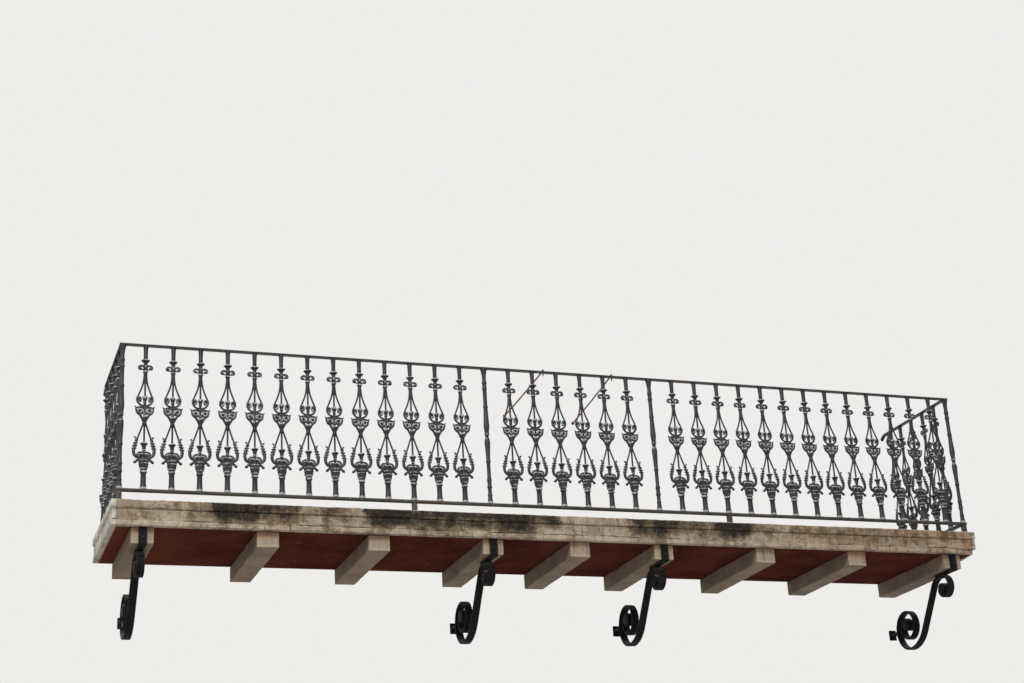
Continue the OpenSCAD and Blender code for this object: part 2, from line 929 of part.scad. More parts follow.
// Bracket drawn with the wall towards +X and the height along Y.
// The origin is the corner where the strap's face meets the underside of the joist.
module bracket_iron() {
    run_y = -1.5 * bar_t;
    wall_x = joist_front + bar_t;
    shoulder_x = strap_len - shoulder_inset;
    shoulder_c = [shoulder_x, run_y - shoulder_r];
    brace_dir = [cos(brace_angle), -sin(brace_angle)];
    brace_side = [sin(brace_angle), cos(brace_angle)];
    brace_top = shoulder_c + shoulder_r * brace_side;
    sweep_c = [for (v = brace_top + brace_len * brace_dir + sweep_r * brace_side) snap(v)];
    volute_y = sweep_c.y - sweep_r + volute_r;
    tie_x = sweep_c.x + volute_r;
    translate([0, 0, -bar_w / 2]) {
        translate([0, -bar_t, 0])
            cube([bar_t, bar_t + joist_h, bar_w]);
        translate([0, -bar_t, 0])
            cube([strap_len, bar_t, bar_w]);
        translate([shoulder_x - shoulder_run, run_y - bar_t / 2, 0])
            cube([shoulder_run, bar_t, bar_w]);
        translate([tie_x, volute_y - bar_t / 2, 0])
            cube([wall_x - tie_x - tie_plate_t, bar_t, bar_w]);
        translate([wall_x - tie_plate_t, volute_y - tie_plate_h / 2, -tie_plate_margin])
            cube([tie_plate_t, tie_plate_h, bar_w + 2 * tie_plate_margin]);
    }
    translate([shoulder_x - shoulder_run, run_y - front_scroll_r, 0])
        rotate([0, 0, 90])
            scroll(front_scroll_r, front_shrink, front_turns, front_eye_r);
    translate([shoulder_c.x, shoulder_c.y, 0])
        mirror([1, 0, 0])
            rotate([0, 0, 90])
                bar_bend(shoulder_r, brace_angle);
    translate([brace_top.x, brace_top.y, 0])
        rotate([0, 0, -brace_angle])
            translate([-brace_lap, brace_shy - bar_t / 2, -bar_w / 2])
                cube([brace_len + 2 * brace_lap, bar_t - 2 * brace_shy, bar_w]);
    translate([sweep_c.x, sweep_c.y, 0])
        mirror([1, 0, 0])
            rotate([0, 0, -90])
                bar_bend(sweep_r, brace_angle);
    translate([sweep_c.x, volute_y, 0])
        rotate([0, 0, -90])
            scroll(volute_r, volute_shrink, volute_turns, volute_eye_r);
}

module bracket(n) {
    color(bracket_black)
        translate([bracket_xs[n - 1], -joist_front - bar_t, joist_bottom])
            rotate([90, 0, 90])
                bracket_iron();
}

module bracket_1() {
    bracket(1);
}

module bracket_2() {
    bracket(2);
}

module bracket_3() {
    bracket(3);
}

module bracket_4() {
    bracket(4);
}

// Stay from the handrail to the wall: an eye and a tail at the rail, a rosette on the wall.
module stay(x, shift, fall) {
    eye_t = 2 * stay_r + 2;
    start = [x, -rail_out, handrail_z + handrail_t + eye_t / 2];
    end = [x + shift, 0, start.z - fall];
    d = end - start;
    color(rust) {
        translate([x, -rail_out, handrail_z + handrail_t])
            cylinder(h = eye_t, r = stay_eye_r);
        translate([x, -rail_out, handrail_z + handrail_t + eye_t - 1])
            cylinder(h = knob_size, r = knob_size);
        translate([x, -rail_out, handrail_z - pin_h])
            cylinder(h = pin_h, r = pin_r);
        difference() {
            translate(start)
                rotate([0, acos(d.z / norm(d)), atan2(d.y, d.x)])
                    cylinder(h = norm(d) + 4 * stay_r, r = stay_r);
            translate([end.x - 10 * stay_r, 0, end.z - 10 * stay_r])
                cube(20 * stay_r);
        }
        translate(end)
            rotate([90, 0, 0])
                cylinder(h = rosette_t, r = rosette_r);
    }
}

module stay_left() {
    stay(stay_left_x, stay_left_shift, stay_left_fall);
}

module stay_right() {
    stay(stay_right_x, stay_right_shift, stay_right_fall);
}

floor_slab();
slab_core();
fascia_front();
fascia_left();
fascia_right();
joist_1();
joist_2();
joist_3();
joist_4();
joist_5();
joist_6();
joist_7();
joist_8();
joist_9();
bracket_1();
bracket_2();
bracket_3();
bracket_4();
handrail_front();
handrail_left();
handrail_right();
bottom_rail_front();
bottom_rail_left();
bottom_rail_right();
rail_feet();
corner_post_left();
corner_post_right();
middle_post_left();
middle_post_right();
front_left_balusters();
front_centre_balusters();
front_right_balusters();
left_side_balusters();
right_side_balusters();
stay_left();
stay_right();
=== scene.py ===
"""Dresses the iron balcony: cast railing, stone floor, joists and scroll brackets."""

import math

import bpy
import numpy as np
from bpy.props import FloatProperty, FloatVectorProperty, PointerProperty
from bpy.types import Operator, Panel, PropertyGroup
from mathutils import Matrix, Vector, noise


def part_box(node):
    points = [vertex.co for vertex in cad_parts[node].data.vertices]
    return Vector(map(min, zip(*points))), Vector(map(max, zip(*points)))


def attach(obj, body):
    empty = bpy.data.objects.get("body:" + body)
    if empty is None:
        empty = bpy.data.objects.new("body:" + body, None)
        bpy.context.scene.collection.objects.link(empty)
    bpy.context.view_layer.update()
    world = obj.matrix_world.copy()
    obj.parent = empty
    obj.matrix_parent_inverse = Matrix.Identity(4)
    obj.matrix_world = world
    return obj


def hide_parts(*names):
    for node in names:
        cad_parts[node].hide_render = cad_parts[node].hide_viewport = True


bl_info = {
    "name": "Iron balcony",
    "version": (1, 0, 0),
    "blender": (4, 5, 0),
    "location": "View3D > Sidebar > Balcony",
    "description": "Cast railing, stone floor, joists and scroll brackets of an iron balcony",
    "category": "Object",
}

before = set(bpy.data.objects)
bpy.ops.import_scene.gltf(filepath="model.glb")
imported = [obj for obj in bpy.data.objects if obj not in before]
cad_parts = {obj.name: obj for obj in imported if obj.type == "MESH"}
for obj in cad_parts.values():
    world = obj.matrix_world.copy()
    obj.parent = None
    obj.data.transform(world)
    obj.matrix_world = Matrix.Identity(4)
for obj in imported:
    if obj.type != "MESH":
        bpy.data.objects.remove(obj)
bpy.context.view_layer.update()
MM = 0.001


def low(node):
    return np.array(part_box(node)[0])


def high(node):
    return np.array(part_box(node)[1])


def centre_of(node):
    return (low(node) + high(node)) / 2


# Balusters in each row
ROWS = {"front_left": 13, "front_centre": 6, "front_right": 13, "left_side": 5, "right_side": 5}
# Height of the baluster that the drawing below is made for, in millimetres
CASTING_H = 897
RAIL_TOP = high("bottom_rail_front")[2]
CLEAR = low("handrail_front")[2] - RAIL_TOP
RAIL_Y = centre_of("handrail_front")[1]
CORNER_X = centre_of("corner_post_right")[0]
MIDDLE_X = centre_of("middle_post_right")[0]
PITCH = 2 * MIDDLE_X / (ROWS["front_centre"] + 1)
BALUSTER_HALF = high("front_centre_balusters")[0] - (ROWS["front_centre"] - 1) / 2 * PITCH


def tint(red, green, blue):
    """A colour given as it shows on a screen, 0 to 255, for a colour setting."""
    return tuple(
        round(c / 12.92 if c <= 0.04045 else ((c + 0.055) / 1.055) ** 2.4, 4)
        for c in (red / 255, green / 255, blue / 255)
    )


def colour_setting(name, description, *rgb):
    return FloatVectorProperty(
        name=name, description=description, subtype="COLOR", size=3, min=0, max=1, default=tint(*rgb)
    )


def length_setting(name, description, value, least, most):
    return FloatProperty(
        name=name, description=description, unit="LENGTH", default=value, min=least, max=most
    )


def share_setting(name, description):
    return FloatProperty(
        name=name, description=description, subtype="FACTOR", default=0.5, min=0, max=1
    )


def power_setting(name, description, value):
    return FloatProperty(name=name, description=description, unit="POWER", default=value, min=0)


class RailingSizes(PropertyGroup):
    rod: length_setting("Rod radius", "Radius of the cast rods", 0.0056, 0.004, 0.0065)
    arm: length_setting("Lyre arm", "Radius of the lyre's thickest arms", 0.0098, 0.007, 0.011)
    scroll: length_setting("Scroll bar", "Radius of the bars of scrolls and basket", 0.006, 0.0045, 0.007)
    edge: length_setting("Rail edge", "Rounding along the edges of the rails", 0.0022, 0.0005, 0.004)
    rivet: length_setting("Rivet head", "Radius of the rivet heads on the rails", 0.0062, 0.003, 0.009)


class StoneSizes(PropertyGroup):
    edge: length_setting("Nosing rounding", "Rounding of the floor's worn edges", 0.011, 0.003, 0.02)
    wear: length_setting("Edge wear", "Depth to which the stone's edges are chipped", 0.005, 0, 0.01)
    joist_edge: length_setting("Joist rounding", "Rounding of the joists' edges", 0.005, 0.001, 0.01)
    cell: length_setting("Stone mesh cell", "Distance between points on the stone", 0.022, 0.012, 0.06)


class IronFinish(PropertyGroup):
    paint: colour_setting("Paint", "Dark paint of the railing", 33, 33, 37)
    # Pale weathered paint. The same colour is laid on raised and upward faces and the feet of balusters and
    # posts as painted highlight.
    chalk_and_highlight: colour_setting("Chalking", "Weathered paint on raised places", 176, 174, 174)
    rail: colour_setting("Handrail", "Paint of the handrail", 38, 33, 30)
    rust: colour_setting("Rust", "Rust in the hollows", 84, 54, 38)
    olive: colour_setting("Bottom rail", "Paint of the bottom rail", 66, 62, 54)
    black: colour_setting("Brackets", "Paint of the brackets", 16, 15, 14)
    stay: colour_setting("Stays", "Rust of the stays", 134, 76, 44)
    rust_share: share_setting("Rust share", "How much of the iron is rusted")


class StoneFinish(PropertyGroup):
    pale: colour_setting("Stone", "Clean stone of the floor", 167, 152, 132)
    grey: colour_setting("Weathered stone", "Grey patches on the stone", 138, 123, 104)
    # Pale stone, laid on as a painted highlight along the nosing's top edge, and on the end faces as white
    # streaks together with painted light.
    white: colour_setting("Worn edge", "Stone rubbed bright along the floor's edge", 222, 216, 204)
    stain: colour_setting("Stains", "Black growth and drips", 20, 19, 16)
    halo: colour_setting("Stain edges", "Brown fringe of the stains", 110, 90, 66)
    soffit: colour_setting("Soffit", "Paint between the joists", 84, 44, 34)
    joist: colour_setting("Joists", "Paint of the joists", 132, 112, 93)
    ochre: colour_setting("Joist tops", "Ochre wash at the top of the joists' ends", 166, 118, 76)
    stain_share: share_setting("Stain share", "How much of the nosing is stained")


class StageSettings(PropertyGroup):
    key: power_setting("Key lamp", "Power of the large lamp", 1300)
    fill: power_setting("Fill lamp", "Power of the lamp below", 60)
    sky: FloatProperty(name="Sky", description="Strength of the even light", default=0.5, min=0)
    floor: colour_setting("Floor", "Colour of the floor", 226, 224, 220)
    backdrop: colour_setting("Backdrop", "Colour behind the balcony", 238, 237, 235)


# Shapes


class Shape:
    """Points and faces of a piece while it is being made, in metres."""

    # Each point keeps a mark, wear, which cast_paint reads: above 0 it lays on pale chalking and painted
    # highlight, below 0 painted shade.
    def __init__(self):
        self.points, self.quads, self.tris, self.wear, self.count = [], [], [], [], 0

    def add(self, points, quads=(), tris=(), wear=0.0):
        for faces, sides, kept in ((quads, 4, self.quads), (tris, 3, self.tris)):
            if len(faces):
                kept.append(np.asarray(faces, int).reshape(-1, sides) + self.count)
        self.points.append(np.asarray(points, float))
        self.wear.append(np.broadcast_to(np.asarray(wear, float), (len(points),)))
        self.count += len(points)
        return self

    def packed(self):
        quads = np.vstack(self.quads)
        tris = np.vstack(self.tris or [np.zeros((0, 3), int)])
        return np.vstack(self.points), quads, tris, np.concatenate(self.wear)

    def join(self, other, place, wear=None):
        """Adds another shape at a place, a 4 by 4 matrix, with its own wear or the given one."""
        points, quads, tris, marks = other.packed()
        place = np.array(place)
        points = points @ place[:3, :3].T + place[:3, 3]
        return self.add(points, quads, tris, marks if wear is None else wear)

    def copies(self, places):
        """The same shape at each place."""
        row = Shape()
        for place in places:
            row.join(self, place)
        return row


def skin(shape, rings, wear=0.0):
    """Faces over a run of rings, each going left round the run's direction, and over both ends."""
    m, n, _ = rings.shape
    i, j = np.arange(m - 1)[:, None], np.arange(n)
    after, last = (j + 1) % n, (m - 1) * n
    a, b = i * n + j, i * n + after
    quads = np.stack([a, b, b + n, a + n], -1)
    head = np.stack([np.full(n, m * n), after, j], -1)
    tail = np.stack([np.full(n, m * n + 1), last + j, last + after], -1)
    points = np.vstack([rings.reshape(-1, 3), rings[0].mean(0), rings[-1].mean(0)])
    wear = np.broadcast_to(np.asarray(wear, float).reshape(-1, 1), (m, n)).ravel()
    return shape.add(points, quads, np.vstack([head, tail]), np.append(wear, [wear[0], wear[-1]]))


def softened(profile, cut):
    """A profile whose corners are cut off, so that its edges catch the light."""
    profile = np.asarray(profile, float)
    out = [profile[0]]
    for before, here, after in zip(profile, profile[1:], profile[2:]):
        a, b = here - before, after - here
        if np.dot(a, b) > 0.86 * np.linalg.norm(a) * np.linalg.norm(b):
            out.append(here)
            continue
        for end in (before, after):
            d = end - here
            out.append(here + d * min(0.33, cut / max(np.linalg.norm(d), 1e-9)))
    return np.array(out + [profile[-1]])


def circle(sides):
    return np.arange(sides) / sides * 2 * math.pi


def rings_round(radius, height, sides):
    """Rings round Z, one for each radius and height."""
    radius, height, turn = radius[:, None], height[:, None], circle(sides)
    return np.stack(np.broadcast_arrays(radius * np.cos(turn), radius * np.sin(turn), height), -1)


def lathe(profile, sides, cut):
    """A turned piece round Z, from radius and height in millimetres.

    What stands out from its surroundings is marked for pale chalking and painted highlight, and what lies
    back for painted shade.
    """
    surroundings, full_mark = 9, 2.4
    radius, height = softened(profile, cut).T
    near = np.abs(height[:, None] - height) < surroundings
    mean = (near * radius).sum(1) / near.sum(1)
    wear = np.clip((radius - mean) / full_mark, -1, 1)
    return skin(Shape(), rings_round(radius, height, sides) * MM, wear)


def smooth_path(points, count):
    """Points spread evenly along a smooth curve through the given ones."""
    points = np.asarray(points, float)
    ends = np.vstack([2 * points[0] - points[1], points, 2 * points[-1] - points[-2]])
    t = np.linspace(0, 1, 12, endpoint=False)[:, None]
    fine = []
    for p0, p1, p2, p3 in zip(ends, ends[1:], ends[2:], ends[3:]):
        bow, twist = 2 * p0 - 5 * p1 + 4 * p2 - p3, 3 * p1 - p0 - 3 * p2 + p3
        fine.append(p1 + 0.5 * ((p2 - p0) * t + bow * t**2 + twist * t**3))
    fine = np.vstack(fine + [points[-1:]])
    along = np.append(0, np.cumsum(np.linalg.norm(np.diff(fine, axis=0), axis=1)))
    want = np.linspace(0, along[-1], count)
    return np.stack([np.interp(want, along, column) for column in fine.T], -1)


def unit(vectors):
    return vectors / np.linalg.norm(vectors, axis=1)[:, None]


def directions(path, across):
    """Direction of a path at each point, and the one square to it that is nearest to `across`."""
    ahead = unit(np.gradient(path, axis=0))
    side = np.broadcast_to(np.asarray(across, float), ahead.shape)
    return ahead, unit(side - (side * ahead).sum(1)[:, None] * ahead)


def tube(shape, path, radius, sides=8, across=(0, 1, 0), deep=1.0, wear=0.15, round_ends=True):
    """A round bar along a path. `deep` is its depth along `across`, as a share of its width."""
    radius = np.atleast_1d(radius)
    radius = np.interp(np.linspace(0, 1, len(path)), np.linspace(0, 1, len(radius)), radius)
    ahead, v = directions(path, across)
    if round_ends:
        steps = np.array([0.35, 0.8])
        bulge = np.sqrt(1 - steps[:, None] ** 2)
        head = path[0] - ahead[0] * radius[0] * bulge
        tail = path[-1] + ahead[-1] * radius[-1] * bulge[::-1]
        path = np.vstack([head, path, tail])
        ahead, v = (np.vstack([d[:1], d[:1], d, d[-1:], d[-1:]]) for d in (ahead, v))
        radius = np.concatenate([steps * radius[0], radius, steps[::-1] * radius[-1]])
    u = np.cross(v, ahead)
    turn = circle(sides)[None, :, None]
    section = np.cos(turn) * u[:, None] + deep * np.sin(turn) * v[:, None]
    return skin(shape, path[:, None] + radius[:, None, None] * section, wear)


def knob(shape, place, size, turn=0, wear=0.6, sides=8, rows=5):
    """A boss of the casting, turned in the railing's plane.

    Its place, [x, z] or [x, y, z], and its half sizes are in millimetres.
    """
    lift = np.linspace(-math.pi / 2, math.pi / 2, rows + 1)[1:-1]
    made = skin(Shape(), rings_round(np.cos(lift), np.sin(lift), sides), wear)
    points, quads, tris, marks = made.packed()
    points[-2:] = (0, 0, -1), (0, 0, 1)
    c, s = math.cos(math.radians(turn)), math.sin(math.radians(turn))
    points = points * size @ np.array([[c, 0, s], [0, 1, 0], [-s, 0, c]])
    centre = place if len(place) == 3 else (place[0], 0, place[1])
    return shape.add((points + centre) * MM, quads, tris, marks)


def flat_bar(shape, path, width, thick, cut, across=(1, 0, 0)):
    """A flat bar along a path, its width across it and its edges cut."""
    ahead, side = directions(path, across)
    face = np.cross(ahead, side)
    w, t = width / 2, thick / 2
    corners = np.array([(w, cut - t), (w, t - cut), (w - cut, t), (cut - w, t)])
    section = np.vstack([corners, -corners])
    rings = path[:, None] + section[:, :1] * side[:, None] + section[:, 1:] * face[:, None]
    return skin(shape, rings, 0.2)


def rivet(shape, centre, direction, radius, sides=10):
    """A domed rivet head."""
    dome = np.array([(1, 0), (0.96, 0.25), (0.7, 0.55), (0.1, 0.68)])
    turn = Vector((0, 0, 1)).rotation_difference(Vector(direction)).to_matrix().to_4x4()
    shape.join(lathe(dome * radius / MM, sides, 0.1), Matrix.Translation(centre) @ turn, 0.7)


def steps_between(start, stop, cell, edge):
    """Places along a side of a worn block, closer together at its edges."""
    count = max(2, int(round((stop - start - 2 * edge) / cell)) + 1)
    rounding = edge * np.array([0, 0.3, 0.65])
    inner = np.linspace(start + edge, stop - edge, count)
    return np.concatenate([start + rounding, inner, stop - rounding[::-1]])


def worn_block(shape, lowest, highest, cell, edge, wear, seed, flat_back=False):
    """A stone block with rounded edges, chipped here and there, never larger than its box."""
    lowest, highest = np.asarray(lowest, float), np.asarray(highest, float)
    spans = [steps_between(lowest[k], highest[k], cell, edge) for k in range(3)]
    corners, quads = {}, []
    for axis in range(3):
        a, b = (axis + 1) % 3, (axis + 2) % 3
        for end in (0, len(spans[axis]) - 1):
            for p, q in np.ndindex(len(spans[a]) - 1, len(spans[b]) - 1):
                face = []
                for dp, dq in ((0, 0), (1, 0), (1, 1), (0, 1)):
                    at = [0, 0, 0]
                    at[axis], at[a], at[b] = end, p + dp, q + dq
                    face.append(corners.setdefault(tuple(at), len(corners)))
                quads.append(face if end else face[::-1])
    points = np.array([[span[k] for span, k in zip(spans, at)] for at in corners])
    core = np.clip(points, lowest + edge, highest - edge)
    if flat_back:
        core[:, 1] = np.clip(points[:, 1], lowest[1] + edge, highest[1])
    away = points - core
    far = np.linalg.norm(away, axis=1)[:, None]
    near_edge = (np.abs(away) > edge * 0.2).sum(1) > 1
    rounded = core + np.where(far > edge, away / np.maximum(far, 1e-9) * edge, away)
    middle = (lowest + highest) / 2
    marks = np.zeros(len(points))
    for k, (p, close) in enumerate(zip(rounded, near_edge)):
        spot = Vector(p) * 9 + Vector((seed * 3.1, seed, 0))
        rough = noise.noise(spot) + 0.5 * noise.noise(spot * 3.3)
        inward = core[k] - p
        size = np.linalg.norm(inward)
        if close and size > 1e-9:
            chip = wear * max(0.0, rough + 0.12) * 1.4
            rounded[k] = p + inward / size * min(chip, size)
            marks[k] = min(1, 0.35 + chip / max(wear, 1e-6))
        else:
            ripple = wear * 0.12 * (0.6 + rough)
            rounded[k] = p + np.sign(middle - p) * (np.abs(away[k]) > 1e-9) * ripple
    if flat_back:
        rounded[points[:, 1] >= highest[1] - 1e-9, 1] = highest[1]
    return shape.add(rounded, quads, wear=marks)


def linked(name, data):
    """A new object in the scene."""
    made = bpy.data.objects.new(name, data)
    bpy.context.scene.collection.objects.link(made)
    return made


def piece(name, shape, finish, nodes, angle=38):
    """Makes the shape an object that rides on the balcony and stands for its CAD nodes."""
    points, quads, tris, wear = shape.packed()
    mesh = bpy.data.meshes.new(name)
    mesh.vertices.add(len(points))
    mesh.vertices.foreach_set("co", points.astype(np.float32).ravel())
    mesh.loops.add(4 * len(quads) + 3 * len(tris))
    corners = np.concatenate([quads.ravel(), tris.ravel()])
    mesh.loops.foreach_set("vertex_index", corners.astype(np.int32))
    mesh.polygons.add(len(quads) + len(tris))
    starts = np.concatenate([np.arange(len(quads)) * 4, 4 * len(quads) + np.arange(len(tris)) * 3])
    mesh.polygons.foreach_set("loop_start", starts.astype(np.int32))
    mesh.polygons.foreach_set("use_smooth", np.ones(len(starts), bool))
    mesh.update(calc_edges=True)
    mesh.validate()
    mesh.attributes.new("wear", "FLOAT", "POINT").data.foreach_set("value", wear.astype(np.float32))
    mesh.set_sharp_from_angle(angle=math.radians(angle))
    mesh.materials.append(finish)
    made = linked(name, mesh)
    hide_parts(*nodes)
    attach(made, "root")


# Finishes


class Finish:
    """A material and its nodes while it is being made. `base` is its colour so far."""

    def __init__(self, name, base):
        self.material = bpy.data.materials.new(name)
        self.material.use_nodes = True
        self.tree = self.material.node_tree
        self.shader = self.tree.nodes["Principled BSDF"]
        self.place = self.node("ShaderNodeTexCoord").outputs["Object"]
        self.base = base

    def node(self, kind, inputs=(), **settings):
        made = self.tree.nodes.new(kind)
        for key, value in settings.items():
            setattr(made, key, value)
        for key, value in dict(inputs).items():
            self.feed(made.inputs[key], value)
        return made

    def feed(self, socket, value):
        if isinstance(value, bpy.types.NodeSocket):
            self.tree.links.new(value, socket)
        elif hasattr(value, "__len__") and len(value) == 3 and socket.type == "RGBA":
            socket.default_value = (*value, 1)
        else:
            socket.default_value = value

    def cloud(self, scale, detail=4, rough=0.55, stretch=None):
        spot = self.place
        if stretch:
            spot = self.node("ShaderNodeMapping", {"Vector": spot, "Scale": stretch}).outputs["Vector"]
        inputs = {"Vector": spot, "Scale": scale, "Detail": detail, "Roughness": rough}
        return self.node("ShaderNodeTexNoise", inputs).outputs["Fac"]

    def pits(self, scale):
        inputs = {"Vector": self.place, "Scale": scale}
        return self.node("ShaderNodeTexVoronoi", inputs).outputs["Distance"]

    def between(self, value, start, stop, most=1.0, least=0.0):
        """Rises smoothly from least to most while the value goes from start to stop."""
        inputs = {"Value": value, "From Min": start, "From Max": stop, "To Min": least, "To Max": most}
        return self.node("ShaderNodeMapRange", inputs, interpolation_type="SMOOTHSTEP").outputs["Result"]

    def sums(self, operation, a, b=0.0):
        return self.node("ShaderNodeMath", {0: a, 1: b}, operation=operation).outputs["Value"]

    def plus(self, a, b):
        return self.sums("ADD", a, b)

    def minus(self, a, b):
        return self.sums("SUBTRACT", a, b)

    def times(self, a, b):
        return self.sums("MULTIPLY", a, b)

    def mixed(self, share, a, b):
        made = self.node("ShaderNodeMix", {0: share}, data_type="RGBA")
        self.feed(made.inputs[6], a)
        self.feed(made.inputs[7], b)
        return made.outputs[2]

    def cover(self, colour, share):
        """Lays a colour over the base by a share of 0 to 1."""
        self.base = self.mixed(share, self.base, colour)

    def coat(self, colour, *limits):
        """Lays a colour over the base where a value lies in its limits, those of `between`."""
        self.cover(colour, self.between(*limits))

    def mark(self, name):
        return self.node("ShaderNodeAttribute", attribute_name=name).outputs["Fac"]

    def part_of(self, vector, letter):
        return self.node("ShaderNodeSeparateXYZ", {"Vector": vector}).outputs[letter]

    def facing_up(self):
        return self.part_of(self.node("ShaderNodeNewGeometry").outputs["Normal"], "Z")

    def axis(self, letter):
        return self.part_of(self.place, letter)

    def bump(self, height, strength, depth):
        made = self.node("ShaderNodeBump", {"Height": height, "Strength": strength, "Distance": depth})
        self.feed(self.shader.inputs["Normal"], made.outputs["Normal"])

    def done(self, fine, smooth, rough, specular=0.3, top=0.7):
        """Connects the base, with a roughness that follows the fine cloud."""
        self.feed(self.shader.inputs["Base Color"], self.base)
        self.feed(self.shader.inputs["Roughness"], self.between(fine, 0.3, top, rough, smooth))
        self.shader.inputs["Specular IOR Level"].default_value = specular
        return self.material


def shade(colour, share):
    """A darker colour, or a lighter one with a share above 1."""
    return [min(1.0, c * share) for c in colour]


def cast_paint():
    """Dark paint on cast iron with rust flecks, paler on raised and upward faces by chalking and painted
    highlight, with painted shade in the hollows.
    """
    iron = bpy.context.scene.balcony_iron
    f = Finish("cast_iron_paint", iron.paint)
    broad, fine, wear = f.cloud(7), f.cloud(90, 5, 0.6), f.mark("wear")
    f.coat(shade(iron.paint, 1.9), broad, 0.35, 0.68)
    # Raised parts and upward faces turn pale: partly chalking of the paint, partly painted highlight.
    upward = f.between(f.facing_up(), 0.05, 0.75)
    raised = f.plus(f.times(wear, 1.1), f.times(upward, 0.45))
    raised = f.times(raised, f.between(f.cloud(46, 4, 0.6), 0.34, 0.6, 1.1, 0.45))
    f.coat(iron.chalk_and_highlight, raised, 0.36, 1.0, 0.88)
    # Parts marked below 0, which lie back, are darkened: painted shade in the hollows.
    f.coat(shade(iron.paint, 0.3), wear, -0.1, -0.8, 0.85)
    # A pale band at the foot of the balusters and posts: painted highlight.
    f.coat(iron.chalk_and_highlight, f.axis("Z"), RAIL_TOP + 0.013, RAIL_TOP + 0.01, 0.7)
    flecks = f.between(f.cloud(38, 5, 0.65), 0.66 - 0.2 * iron.rust_share, 0.72)
    f.cover(iron.rust, f.times(flecks, f.between(broad, 0.42, 0.75, 0.8)))
    f.bump(f.plus(fine, f.cloud(320, 2)), 0.35, 0.0012)
    return f.done(fine, 0.38, 0.62, top=0.75)


def rail_paint():
    """Paint on the flat handrail, chalky in spots, paler on its top and upper edges with dust and painted
    highlight, and rusty in long patches.
    """
    iron = bpy.context.scene.balcony_iron
    f = Finish("handrail_paint", iron.rail)
    fine = f.cloud(60, 5, 0.6)
    f.coat(shade(iron.rail, 1.8), f.cloud(3), 0.35, 0.7)
    f.coat(iron.chalk_and_highlight, fine, 0.62, 0.75, 0.35)
    # Upward faces paler: dust and painted highlight.
    f.coat(iron.chalk_and_highlight, f.facing_up(), 0.3, 0.9, 0.6)
    f.coat(iron.rust, f.cloud(24, 5, 0.7, (0.35, 1, 1)), 0.56, 0.66, 0.75)
    f.bump(f.plus(fine, f.cloud(260, 2)), 0.3, 0.001)
    return f.done(fine, 0.36, 0.6)


def olive_paint():
    """Brownish grey paint of the bottom rail, paler on top with dust and painted highlight."""
    iron = bpy.context.scene.balcony_iron
    f = Finish("bottom_rail_paint", iron.olive)
    fine = f.cloud(70, 5, 0.6)
    f.coat(shade(iron.olive, 0.5), f.cloud(4, 4, 0.6, (0.5, 1, 1)), 0.35, 0.65)
    f.coat(iron.chalk_and_highlight, fine, 0.55, 0.75, 0.4)
    # Upward faces paler: dust and painted highlight.
    f.coat(iron.chalk_and_highlight, f.facing_up(), 0.3, 0.9, 0.5)
    f.coat(iron.rust, f.cloud(20, 5, 0.7, (0.3, 1, 1)), 0.56, 0.66, 0.7)
    f.bump(f.plus(fine, f.cloud(240, 2)), 0.35, 0.0012)
    return f.done(fine, 0.45, 0.7)


def bracket_paint():
    """Nearly black paint on the forged brackets, dull and a little rusty."""
    iron = bpy.context.scene.balcony_iron
    f = Finish("bracket_paint", iron.black)
    fine = f.cloud(110, 4, 0.6)
    f.coat(shade(iron.black, 2.2), f.cloud(9), 0.3, 0.7)
    # Upward faces a little paler: dust and painted highlight.
    f.coat(iron.chalk_and_highlight, f.facing_up(), 0.4, 0.95, 0.3)
    f.coat(iron.rust, f.cloud(30, 5, 0.7), 0.6, 0.72, 0.5)
    f.bump(f.plus(fine, f.cloud(300, 2)), 0.4, 0.0015)
    return f.done(fine, 0.55, 0.75, 0.08)


def stay_rust():
    """Rusty iron of the thin stays."""
    iron = bpy.context.scene.balcony_iron
    f = Finish("stay_rust", iron.stay)
    fine = f.cloud(120, 5, 0.65)
    f.coat(shade(iron.stay, 0.45), f.cloud(20), 0.35, 0.65)
    f.coat(iron.chalk_and_highlight, fine, 0.6, 0.75, 0.4)
    f.bump(fine, 0.5, 0.001)
    return f.done(fine, 0.6, 0.85)


# Stretches of the front, from one x to another in metres, and how dark each is stained
STAINED = (
    (-2.6, -2.3, 0.35), (-2.3, -2.04, 1.2), (-2.04, -1.78, 0.8), (-1.66, -1.46, 0.6), (-1.4, -1.16, 1.35),
    (-1.16, -0.5, 0.85), (-0.88, -0.8, 0.5), (-0.5, -0.36, 1.6), (-0.36, -0.14, 0.7), (0.34, 0.66, 0.9),
    (0.66, 0.94, 0.5), (0.96, 1.2, 1.0), (1.2, 2.9, 0.25),
)
# Height of the fascia's lower band, and how far it stands out
BAND_H, BAND_STEP = 0.031, 0.005


def stain_zone(f):
    """Where along the front the stone is stained, from stretches that fade at their ends."""
    x = f.plus(f.axis("X"), f.times(f.cloud(7, 3), 0.3))
    # The cloud moves x by this much on average
    shift = 0.15
    total, fade = 0.0, 0.05
    for start, stop, amount in STAINED:
        start, stop = start + shift, stop + shift
        rise = f.between(x, start - fade, start + fade)
        total = f.plus(total, f.times(f.times(rise, f.between(x, stop + fade, stop - fade)), amount))
    return total


